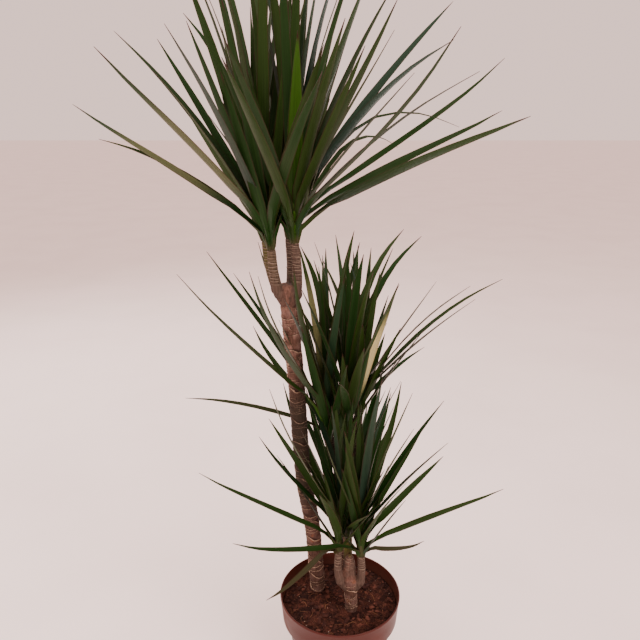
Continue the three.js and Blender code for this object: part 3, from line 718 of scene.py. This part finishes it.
def carve_rings(whole, cane, stems, bare_top):
    """Presses the leaf-scar rings into the skin, and notes for the bark's finish where the
    rings, the callus and the green of young bark are. A point belongs to its nearest stem."""
    place = np.empty(len(whole.data.vertices) * 3)
    whole.data.vertices.foreach_get("co", place)
    place = place.reshape(-1, 3)
    skin = read_stem(place, stems[0], 0, len(cane["line"]), bare_top)
    for number, stem in enumerate(stems[1:], start=1):
        found = read_stem(place, stem, number, number + len(cane["line"]), bare_top)
        own = found["gap"] < skin["gap"]
        skin = {name: np.where(own, found[name], skin[name]) for name in skin}
    centre, size = (np.array(values) * MM for values in cane["callus"])
    knob = np.linalg.norm((place - centre) / size, axis=1)  # 1 on the knob's own skin
    lip = skin["lip"] * (1 - np.clip((1.08 - knob) / 0.3, 0, 1))
    step = skin["ring"] - np.floor(skin["ring"])
    swell = step ** 3 - 0.9 * np.exp(-(step / 0.12) ** 2) - 0.2
    press = lip * swell
    place[:, 0] += skin["out_x"] * press
    place[:, 1] += skin["out_y"] * press
    whole.data.vertices.foreach_set("co", place.ravel())
    write_note(whole, "ring", skin["ring"])
    write_note(whole, "marked", np.clip(lip / SHOOT_LIP, 0, 1))
    write_note(whole, "callus", np.clip((1.30 - knob) / 0.5, 0, 1))
    write_note(whole, "shoot", skin["shoot"])
    write_note(whole, "green", skin["green"])


BARK_BROWN = (0.058, 0.0290, 0.0200, 1)
BARK_MAUVE = (0.102, 0.056, 0.044, 1)
BARK_ORANGE = (0.130, 0.048, 0.0230, 1)
BARK_PALE = (0.310, 0.205, 0.140, 1)
# Painted dark in the cane's ring grooves: partly the scars' colour, partly shade.
BARK_SCAR_AND_SHADE = (0.0140, 0.0058, 0.0040, 1)
# Painted shade: the leaves' shadow on a stretch of the bark.
BARK_LEAF_SHADE = (0.0135, 0.0105, 0.0056, 1)
SHOOT_GREY = (0.068, 0.042, 0.031, 1)
SHOOT_PALE = (0.150, 0.108, 0.078, 1)
# Painted dark in the shoots' ring grooves: partly the scars' colour, partly shade.
SHOOT_SCAR_AND_SHADE = (0.021, 0.0120, 0.0085, 1)
SHOOT_GREEN = (0.070, 0.064, 0.0145, 1)
CALLUS_ORANGE = (0.126, 0.057, 0.0390, 1)
LIT_HEIGHTS = (0.60, 0.74)  # from the first to the second the old bark grows paler: painted light on the top of the cane
LIT_PALER = 1.85
BARK_DUST_TOP = SOIL_TOP + 0.010
BARK_DUST_REACH = 0.012
# Leaves shade a stretch of bark, painted dark as their shadow: in full between the second heights of
# these pairs, and not at all beyond the first ones.
LEAF_SHADE_FROM = (0.34, 0.42)
LEAF_SHADE_UNTIL = (0.66, 0.58)

# The bark: patches of three browns, callus, long cracks, painted light high up and painted shade under the
# leaves, then the rings.
bark_finish, tree, shader = new_finish("cane_bark", shine=0.15)
place = object_place(tree)
height = add_node(tree, "SeparateXYZ", {0: place}).outputs[2]
marked, callus, shoot = (read_note(tree, name) for name in ("marked", "callus", "shoot"))
patches = use_effect(tree, mottle, {"Place": place, "Scale": 48.0})
drawn_out = add_node(tree, "Mapping", {"Vector": place, "Scale": (1.0, 1.0, 0.16)}).outputs[0]
cracks = noise_over(tree, drawn_out, 420.0, 5.0, 0.65)
old_bark = blend(tree, span(tree, patches["Broad"], 0.40, 0.62), BARK_BROWN, BARK_MAUVE)
old_bark = blend(tree, span(tree, patches["Broad"], 0.60, 0.70, 0, 0.75), old_bark, BARK_ORANGE)
# Painted light: the old bark grows paler towards the top of the tall cane, where more light falls on it.
old_bark = shade(tree, old_bark, span(tree, height, *LIT_HEIGHTS, 1.0, LIT_PALER))
young_bark = blend(tree, read_note(tree, "green"), SHOOT_GREY, SHOOT_GREEN)
bark = blend(tree, shoot, old_bark, young_bark)
grown_over = product(tree, callus, span(tree, patches["Broad"], 0.35, 0.60, 0.15, 0.85))
bark = blend(tree, grown_over, bark, CALLUS_ORANGE)
bark = shade(tree, bark, span(tree, cracks, 0.34, 0.62, 0.62, 1.18))
# Painted shade: a stretch of bark under the leaves darkened as their shadow.
leaf_shade = product(tree, span(tree, height, *LEAF_SHADE_FROM), span(tree, height, *LEAF_SHADE_UNTIL))
leaf_shade_share = product(tree, leaf_shade, span(tree, patches["Broad"], 0.3, 0.7, 0.75, 0.95))
bark = blend(tree, leaf_shade_share, bark, BARK_LEAF_SHADE)

# Rings: a groove at the start of each step from ring to ring, painted dark partly as scar colour and partly
# as shade, and a broken pale lip at its end.
step = work_out(tree, read_note(tree, "ring"), "MODULO", 1.0)
uneven = product(tree, work_out(tree, patches["Fine"], "SUBTRACT", 0.5), 0.10)
step = work_out(tree, step, "ADD", uneven)
groove_top = span(tree, shoot, 0, 1, 0.20, 0.42)
groove = work_out(tree, work_out(tree, step, "DIVIDE", groove_top), "MINIMUM", 1.0)
scar_and_shade = product(tree, span(tree, groove, 0.0, 1.0, 0.85, 0.0), marked)
lip_start = span(tree, shoot, 0, 1, 0.90, 0.72)
lipped = product(tree, span(tree, work_out(tree, step, "SUBTRACT", lip_start), 0.0, 0.06), marked)
broken = span(tree, patches["Broad"], 0.36, 0.50, 0.25, 1.0)
# The pale lips fade in the painted shade too.
broken = product(tree, broken, span(tree, leaf_shade, 0, 1, 1.0, 0.45))
bark = blend(tree, scar_and_shade, bark, blend(tree, shoot, BARK_SCAR_AND_SHADE, SHOOT_SCAR_AND_SHADE))
bark = blend(tree, product(tree, lipped, broken), bark, blend(tree, shoot, BARK_PALE, SHOOT_PALE))
dust_sockets = {"Place": place, "Top": BARK_DUST_TOP, "Reach": BARK_DUST_REACH}
dust = use_effect(tree, soil_dust, dust_sockets)["Mask"]
tree.links.new(blend(tree, dust, bark, SOIL_DARK), shader.inputs["Base Color"])
cracked = work_out(tree, cracks, "ADD", product(tree, patches["Fine"], 0.6))
emboss(tree, shader, cracked, strength=0.55, depth=0.0012)
tree.links.new(span(tree, patches["Fine"], 0.3, 0.7, 0.70, 0.90), shader.inputs["Roughness"])

for name in CANES:
    cane = grow_cane(name)
    paint(cane, bark_finish)
    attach(cane, "root")
    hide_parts(name)

# ---------- Leaves ----------
# Each shoot ends in a head of long leathery straps that clasp it in a spiral: old ones spread
# at the bottom, young ones upright. One strap is made and laid along every blade of the head.
STRAP_STRETCHES = 12
BLADE_SHARES = [0.84, 0.6, 0.34, 0.12, 0.0]  # where the solid blades have their rings, from the tip
BLADE_FULLNESS = [0.407, 0.784, 0.961]  # their width at the first three, as a share of the fullest
BLADE_END = 0.015  # a point with a shorter last stretch isn't the tip of a blade
SAME_POINT = 2e-6
HEAD_CORE = 0.078  # length of the young rolled sheaths in the middle of a head
CORE_SIDES = 16
CORE_RINGS = 16
CORE_SHARE = 0.90  # radius of their foot, to the shoot's
CORE_TOP_SHARE = 0.28  # and of their top, to their foot's
CORE_SWELL = 0.75  # where they are widest, at nearly half their height
CORE_SEATS = (-0.003, 0.026)  # the lowest and the highest place of a leaf on it
SEAT_SCATTER = 0.006  # how much lower a leaf may start
SKIN_SHARE = 1.02  # how far from the shoot's middle a low leaf starts, to the shoot's radius
SEAT_SINK = 0.4  # how much of that radius deeper the highest leaf starts
SEAT_SHARE = 0.45  # how far up a leaf clasps the shoot, as a share of where its blade leaves it
CLASP_SHARE = 0.02  # of its length that a leaf clasps the shoot with
INNER_LEAVES = {"tall": 7, "middle": 7, "short": 6}  # young leaves more in each head
INNER_RISES = (60, 82)  # degrees
INNER_LENGTHS = (0.55, 0.85)  # to the usual length in the head
INNER_SEAT = 0.020
INNER_START = 86  # degrees of rise at the shoot
INNER_OPEN = 0.16  # the share of its length in which such a leaf turns away from the shoot
INNER_NOD = 5  # degrees that such a leaf bows outwards
GOLDEN_TURN = math.radians(137.5)

# The shape of one leaf. Pairs of shares say from where to where along it something changes.
LEAF_THICKNESS = 0.0010
LEAF_EXTRA = 1.08  # a leaf is this much broader than its plain solid blade
LEAF_LEAST_HALF = 0.0003  # half its breadth at the very tip
CLASP_HALF = 0.0105  # half its breadth where it clasps the shoot
CLASP_END = (0.03, 0.13)
NARROW_START = 0.86  # its breadth above the clasp, to the fullest
FULL_FROM = (0.06, 0.30)
TIP_POWER = 3.3  # the higher, the later a leaf starts to taper
EDGE_WAVE = (0.03, 19)  # height, as a share of the breadth, and fineness
CLASP_FOLD = 50  # degrees from flat
OPEN_FOLD = 12
FOLD_END = (0.02, 0.26)
FOLD_SPREAD = 4
TWIST_SPREAD = 16  # degrees that a leaf is wrung by at its tip, either way
UPTURN = 0.014  # of a tip at most, as a share of the leaf's length
UPTURN_FROM = (0.86, 1.0)
END_CROWDING = 0.055  # sets the strap's points closer together at both ends
draw = random.Random(41)


def make_strap():
    """Flat strap, one unit wide and long and thick, closed all round, with its own map."""
    bpy.ops.object.select_all(action="DESELECT")
    bpy.ops.mesh.primitive_grid_add(x_subdivisions=2, y_subdivisions=STRAP_STRETCHES, size=1)
    strap = bpy.context.object
    change_by(strap, "SOLIDIFY", thickness=1.0, offset=0.0)
    return strap


def read_blades(node):
    """The blades that stand out of a head's solid. A blade's tip has three edges, and each
    ring below it has three corners: its two edges and the keel under its middle."""
    solid = bmesh.new()
    solid.from_mesh(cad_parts[node].data)
    bmesh.ops.remove_doubles(solid, verts=solid.verts, dist=SAME_POINT)
    blades = []
    for tip in solid.verts:
        ring = {edge.other_vert(tip) for edge in tip.link_edges}
        seen, rings = {tip}, []
        while len(ring) == 3 and len(rings) < len(BLADE_SHARES):
            rings.append([corner.co.copy() for corner in ring])
            seen |= ring
            ring = {edge.other_vert(corner) for corner in ring for edge in corner.link_edges} - seen
        if len(rings) > 1 and (tip.co - rings[0][0]).length > BLADE_END:
            blades.append((tip.co.copy(), rings))
    solid.free()
    return blades


def seat_root(shoot, outward, seat):
    """Where a leaf starts: on the shoot's skin if it is low, and deeper in the head above that."""
    base, axis, radius = shoot
    seat = min(max(seat, CORE_SEATS[0]), CORE_SEATS[1]) - draw.uniform(0, SEAT_SCATTER)
    sunk = SEAT_SINK * max(seat, 0.0) / CORE_SEATS[1]
    return base + axis * seat + outward * radius * (SKIN_SHARE - sunk)


def spine_of(shares, centres, ups, half, length):
    """A leaf's middle line and upper sides from root to tip, half its breadth, and its length."""
    centres, ups = (np.array([tuple(vector) for vector in vectors]) for vectors in (centres, ups))
    return {"shares": np.array(shares), "centres": centres, "ups": ups, "half": half, "length": length}


def blade_spine(tip, rings, shoot):
    """The spine of a leaf that a solid blade stands for, seated on its shoot."""
    base, axis, radius = shoot
    centres, ups, halves = [], [], []
    for ring in rings:
        pairs = [(0, 1, 2), (1, 2, 0), (2, 0, 1)]
        left, right, keel = max(pairs, key=lambda p: (ring[p[0]] - ring[p[1]]).length)
        centre = (ring[left] + ring[right]) / 2
        centres.append(centre)
        ups.append((centre - ring[keel]).normalized())
        halves.append((ring[left] - ring[right]).length / 2)
    known = min(len(rings), len(BLADE_FULLNESS)) - 1
    half = halves[known] / BLADE_FULLNESS[known]
    length = (tip - centres[0]).length / (1 - BLADE_SHARES[0])
    shares = BLADE_SHARES[:len(rings)]
    if shares[-1] == 0.0:
        shares, centres, ups = shares[:-1], centres[:-1], ups[:-1]
    away = centres[-1] - base
    outward = (away - axis * away.dot(axis)).normalized()
    away -= outward * radius
    reach, spread = shares[-1] * length, (away - axis * away.dot(axis)).length
    seat = SEAT_SHARE * (away.dot(axis) - math.sqrt(max(reach * reach - spread * spread, 0.0)))
    root = seat_root(shoot, outward, seat)
    shares = [0.0, CLASP_SHARE, *reversed(shares), 1.0]
    centres = [root, root + axis * CLASP_SHARE * length, *reversed(centres), tip]
    ups = [-outward, -outward, *reversed(ups), ups[0]]
    return spine_of(shares, centres, ups, half, length)


def inner_spine(shoot, turn, rise, half, length):
    """The same for a young leaf in the thick of the head, which no solid blade stands for."""
    axis = shoot[1]
    outward = Vector((math.cos(turn), math.sin(turn), 0.0))
    outward = (outward - axis * outward.dot(axis)).normalized()
    seat = INNER_SEAT * max(rise - INNER_RISES[0], 0.0) / (INNER_RISES[1] - INNER_RISES[0])
    shares = [0.0, CLASP_SHARE, *reversed(BLADE_SHARES[:-1]), 1.0]
    centres, ups = [seat_root(shoot, outward, seat)], [-outward]
    for below, share in zip(shares, shares[1:]):
        opened = rise + (INNER_START - rise) * max(1 - share / INNER_OPEN, 0.0)
        opened = math.radians(opened - INNER_NOD * share)
        forward = axis * math.sin(opened) + outward * math.cos(opened)
        centres.append(centres[-1] + forward * (share - below) * length)
        ups.append(axis * math.cos(opened) - outward * math.sin(opened))
    return spine_of(shares, centres, ups, half, length)


def smooth_through(at, shares, values):
    """Values between the known ones, on a smooth curve that passes through all of them."""
    slopes = np.gradient(values, shares, axis=0)
    k = np.clip(np.searchsorted(shares, at, side="right") - 1, 0, len(shares) - 2)
    width = (shares[k + 1] - shares[k])[:, None]
    t = (at - shares[k])[:, None] / width
    return ((2 * t ** 3 - 3 * t ** 2 + 1) * values[k] + (t ** 3 - 2 * t ** 2 + t) * width * slopes[k]
            + (3 * t ** 2 - 2 * t ** 3) * values[k + 1] + (t ** 3 - t ** 2) * width * slopes[k + 1])


def unit(rows):
    return rows / np.linalg.norm(rows, axis=1, keepdims=True)


def soft_step(values, start, stop):
    t = np.clip((values - start) / (stop - start), 0, 1)
    return t * t * (3 - 2 * t)


def lay_strap(strap, spine, look):
    """A copy of the strap laid along a spine: folded round the shoot at its root, then an open
    channel, and drawn out to a fine tip that turns up a little."""
    shares, centres, length = spine["shares"], spine["centres"], spine["length"]
    leaf = strap.copy()
    leaf.data = strap.data.copy()
    bpy.context.collection.objects.link(leaf)
    grid = np.empty(len(leaf.data.vertices) * 3)
    leaf.data.vertices.foreach_get("co", grid)
    across, along, side = grid.reshape(-1, 3).T
    across, along = 2 * across, along + 0.5
    along = along - END_CROWDING * np.sin(2 * np.pi * along)
    # Ways at each point: forward along the leaf, sideways across it, and up from its upper side.
    centre = smooth_through(along, shares, centres)
    ahead = smooth_through(np.clip(along + 0.01, 0, 1), shares, centres)
    behind = smooth_through(np.clip(along - 0.01, 0, 1), shares, centres)
    forward = unit(ahead - behind)
    sideways = unit(np.cross(unit(smooth_through(along, shares, spine["ups"])), forward))
    up = np.cross(forward, sideways)
    twist = math.radians(draw.uniform(-TWIST_SPREAD, TWIST_SPREAD)) * along ** 1.5
    cosine, sine = np.cos(twist)[:, None], np.sin(twist)[:, None]
    sideways, up = sideways * cosine + up * sine, up * cosine - sideways * sine
    # Breadth, fold and thickness there.
    fullness = NARROW_START + (1 - NARROW_START) * soft_step(along, *FULL_FROM)
    fullness = fullness * (1 - along ** TIP_POWER)
    wave = 1 + EDGE_WAVE[0] * np.sin(EDGE_WAVE[1] * along + draw.uniform(0, 6))
    width = LEAF_EXTRA * spine["half"] * fullness * wave
    width = np.maximum(width, CLASP_HALF * (1 - soft_step(along, *CLASP_END)))
    width = np.maximum(width, LEAF_LEAST_HALF)
    opening = (CLASP_FOLD - OPEN_FOLD) * soft_step(along, *FOLD_END)
    fold = np.radians(CLASP_FOLD - opening + draw.uniform(-FOLD_SPREAD, FOLD_SPREAD))
    thickness = LEAF_THICKNESS * (1.5 - 0.9 * along) * (1 - 0.45 * np.abs(across))
    upturn = draw.uniform(0.0, UPTURN) * length * soft_step(along, *UPTURN_FROM)
    place = centre + sideways * (across * width * np.cos(fold))[:, None]
    place += up * (np.abs(across) * width * np.sin(fold) + side * thickness)[:, None]
    place[:, 2] += upturn * (1 - np.abs(forward[:, 2]))
    leaf.data.vertices.foreach_set("co", place.ravel())
    for name, value in look.items():
        write_note(leaf, name, value)
    return leaf


def make_core(shoot):
    """The stacked leaf bases and rolled young leaves in the middle of a head."""
    base, axis, radius = shoot
    foot = radius * CORE_SHARE
    bpy.ops.object.select_all(action="DESELECT")
    bpy.ops.mesh.primitive_cone_add(
        vertices=CORE_SIDES, radius1=foot, radius2=foot * CORE_TOP_SHARE, depth=HEAD_CORE)
    core = bpy.context.object
    ring_cuts((0, 0, 1), [HEAD_CORE * (k / CORE_RINGS - 0.5) for k in range(1, CORE_RINGS)])
    for corner in core.data.vertices:
        share = corner.co.z / HEAD_CORE + 0.5
        ridge = 0.05 if round(CORE_RINGS * share) % 2 else -0.02
        grow = 1.0 + CORE_SWELL * math.sin(math.pi * min(share / 0.9, 1.0)) + ridge
        corner.co.x *= grow
        corner.co.y *= grow
    core.rotation_mode = "QUATERNION"
    core.rotation_quaternion = axis.to_track_quat("Z", "Y")
    core.location = base + axis * (HEAD_CORE / 2)
    bpy.ops.object.transform_apply(location=True, rotation=True)
    for corner in core.data.uv_layers[0].data:
        corner.uv = (0.5, 0.02)  # on the leaf's map, the middle of the clasping base
    for name, value in {"tone": 0.4, "age": 0.2, "highlight": 0.0}.items():
        write_note(core, name, value)
    return core


# Leaves that stand out by their colour, by where they end in mm: how fresh (from blue-green at
# 0 over dark green and olive to light green at 1), which here also paints light and shade on them, and how
# much painted highlight lies on them.
MARKED_LEAVES = {
    "tall_head_left_front": [((-298, -274, 1184), 0.30, 0.13), ((-483, 145, 1130), 0.30, 0.16),
                             ((-223, -241, 1213), 0.08, 0.0), ((-37, -310, 1155), 0.24, 0.0)],
    "tall_head_left_back": [((-381, 88, 1244), 0.30, 0.0)],
    "tall_head_right_front": [((149, -251, 1161), 0.10, 0.0),
                              ((-136, -389, 1166), 0.50, 0.0), ((261, -104, 1109), 0.62, 0.0),
                              ((112, -310, 1202), 0.28, 0.0)],
    "tall_head_right_back": [((181, 82, 1230), 0.08, 0.0), ((292, 173, 1209), 0.30, 0.0)],
    "middle_head_front": [((-11, -230, 748), 0.22, 0.0)],
    "middle_head_left": [((-257, -121, 883), 0.89, 0.0), ((-83, -38, 879), 0.60, 0.0),
                         ((-78, 56, 894), 0.80, 0.35)],
}
MARKED_WITHIN = 0.03  # metres from such a place
# Young leaves that catch the eye: turn and rise in degrees, length in mm, breadth to the usual
# one, how fresh and how much painted highlight lies on them; the freshest one's light green is painted
# light.
BRIGHT_LEAVES = {
    "tall_head_right_front": [(-75, 66, 345, 1.45, 0.945, 0.0)],
    "middle_head_front": [(-52, 72, 330, 1.5, 0.66, 0.85)],
}

LEAF_DEEP = (0.0080, 0.0290, 0.0040, 1)
LEAF_OLIVE = (0.0165, 0.0355, 0.0050, 1)
# Partly the colour of young leaves, partly painted light on the brightest ones.
LEAF_FRESH_AND_LIT = (0.030, 0.086, 0.0065, 1)
LEAF_BLUE = (0.0160, 0.0360, 0.0205, 1)
# Partly a grey bloom, partly painted sheen.
LEAF_BLOOM_AND_SHEEN = (0.036, 0.050, 0.0210, 1)
LEAF_BROWN = (0.029, 0.0225, 0.0085, 1)
# Painted highlight where light catches a leaf.
LEAF_HIGHLIGHT = (0.42, 0.37, 0.17, 1)
LEAF_MARGIN = (0.030, 0.0110, 0.0065, 1)
LEAF_TIP = (0.028, 0.0125, 0.0075, 1)
LEAF_SHEATH = (0.040, 0.036, 0.0145, 1)
OLD_FROM = 50  # degrees of rise under which a leaf begins to look old
OLD_SPAN = 70  # degrees lower, it looks as old as can be
BLUE_SHARE = 0.05  # of the leaves have a blue-green bloom
BLUE_TONES = (0.06, 0.14)


def leaf_look(node, spine):
    """How fresh and how old a leaf is, and how much painted highlight lies on it. The lower it hangs, the
    older it is.
    """
    root, tip = Vector(spine["centres"][0]), Vector(spine["centres"][-1])
    rise = math.degrees(math.asin((tip - root).normalized().z))
    age = min(max((OLD_FROM - rise) / OLD_SPAN, 0.0), 1.0)
    if draw.random() < BLUE_SHARE:
        tone = draw.uniform(*BLUE_TONES)
    else:
        tone = 0.2 + 0.7 * draw.random() ** 1.3
    highlight = 0.0
    for place, marked_tone, marked_highlight in MARKED_LEAVES.get(node, []):
        if (tip - Vector(place) * MM).length < MARKED_WITHIN:
            tone, highlight = marked_tone, marked_highlight
    return {"tone": tone, "age": age, "highlight": highlight}


# The leaf's map runs from 0 to 1 across it, and from 0 at the root to 1 at the tip.
leaf_finish, tree, shader = new_finish("leaf", shine=0.10)
tone, age, highlight = (read_note(tree, name) for name in ("tone", "age", "highlight"))
map_place = add_node(tree, "UVMap", uv_map="UVMap").outputs[0]
across, along, _ = add_node(tree, "SeparateXYZ", {0: map_place}).outputs
vein_place = add_node(tree, "Mapping", {"Vector": map_place, "Scale": (26.0, 1.1, 1.0)}).outputs[0]
veins = noise_over(tree, vein_place, 1.0, 2.0)
clouds = use_effect(tree, mottle, {"Place": object_place(tree), "Scale": 9.0})
green = blend(tree, span(tree, tone, 0.25, 0.65), LEAF_DEEP, LEAF_OLIVE)
# The freshest tone, which only the brightest young leaf has: painted light, a leaf lit bright by the sun.
green = blend(tree, span(tree, tone, 0.90, 0.97), green, LEAF_FRESH_AND_LIT)
green = blend(tree, span(tree, tone, 0.16, 0.08), green, LEAF_BLUE)
# Light green over the lower part of the greener leaves: partly their young colour, partly painted light.
lower = product(tree, span(tree, along, 0.45, 0.05), span(tree, tone, 0.74, 0.90, 0, 0.85))
green = blend(tree, lower, green, LEAF_FRESH_AND_LIT)
# Grey-green clouds: partly a waxy bloom, partly painted sheen, the reflection of the pale room.
green = blend(tree, span(tree, clouds["Broad"], 0.48, 0.75, 0, 0.28), green, LEAF_BLOOM_AND_SHEEN)
green = blend(tree, span(tree, age, 0.22, 0.80, 0, 0.85), green, LEAF_BROWN)
# Painted highlight: a pale band over the middle of the leaf, where light catches it.
lit = product(tree, span(tree, along, 0.25, 0.45), span(tree, along, 0.80, 0.60))
green = blend(tree, product(tree, lit, highlight), green, LEAF_HIGHLIGHT)
green = shade(tree, green, span(tree, veins, 0.30, 0.70, 0.72, 1.25))

# Margin, clasping base and dry tip, with uneven borders.
from_middle = work_out(tree, across, "SUBTRACT", 0.5)
from_middle = add_node(tree, "Math", {0: from_middle}, operation="ABSOLUTE").outputs[0]
wander = product(tree, work_out(tree, clouds["Fine"], "SUBTRACT", 0.5), 0.06)
margin = span(tree, work_out(tree, from_middle, "ADD", wander), 0.41, 0.47, 0, 0.6)
green = blend(tree, margin, green, LEAF_MARGIN)
ragged_along = work_out(tree, along, "ADD", wander)
green = blend(tree, span(tree, ragged_along, 0.055, 0.0, 0, 0.95), green, LEAF_SHEATH)
dry = work_out(tree, ragged_along, "ADD", product(tree, age, 0.035))
green = blend(tree, span(tree, dry, 0.90, 0.97), green, LEAF_TIP)
tree.links.new(green, shader.inputs["Base Color"])
tree.links.new(span(tree, clouds["Broad"], 0.3, 0.7, 0.40, 0.54), shader.inputs["Roughness"])
emboss(tree, shader, veins, strength=0.35, depth=0.0005)


def usual(values):
    return sorted(values)[len(values) // 2]


def leaf_spines(node, shoot):
    """The spines of all leaves of a head: those of its solid's blades, then its young ones."""
    spines = [blade_spine(tip, rings, shoot) for tip, rings in read_blades(node)]
    half, length = (usual([spine[size] for spine in spines]) for size in ("half", "length"))
    turn = draw.uniform(0, math.tau)
    for k in range(INNER_LEAVES[node.split("_")[0]]):
        rise = INNER_RISES[0] + (INNER_RISES[1] - INNER_RISES[0]) * draw.random()
        inner_length = length * draw.uniform(*INNER_LENGTHS)
        spines.append(inner_spine(shoot, turn + k * GOLDEN_TURN, rise, half, inner_length))
    return spines, half


strap = make_strap()
shoots = {node: shoot for cane in CANES.values() for node, shoot in cane["shoots"].items()}
for node, (points, radius) in shoots.items():
    line, _ = line_through(points, SHOOT_POINTS)
    shoot = (Vector(line[-1]), Vector(line[-1] - line[-2]).normalized(), radius * MM)
    leaves = [make_core(shoot)]
    spines, usual_half = leaf_spines(node, shoot)
    leaves += [lay_strap(strap, spine, leaf_look(node, spine)) for spine in spines]
    for turn, rise, length, extra, tone, highlight in BRIGHT_LEAVES.get(node, []):
        spine = inner_spine(shoot, math.radians(turn), rise, usual_half * extra, length * MM)
        leaves.append(lay_strap(strap, spine, {"tone": tone, "age": 0.0, "highlight": highlight}))
    head = join_pieces(leaves, node.replace("head", "leaves"))
    settle(head, 50)
    paint(head, leaf_finish)
    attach(head, "root")
    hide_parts(node)
bpy.data.objects.remove(strap)
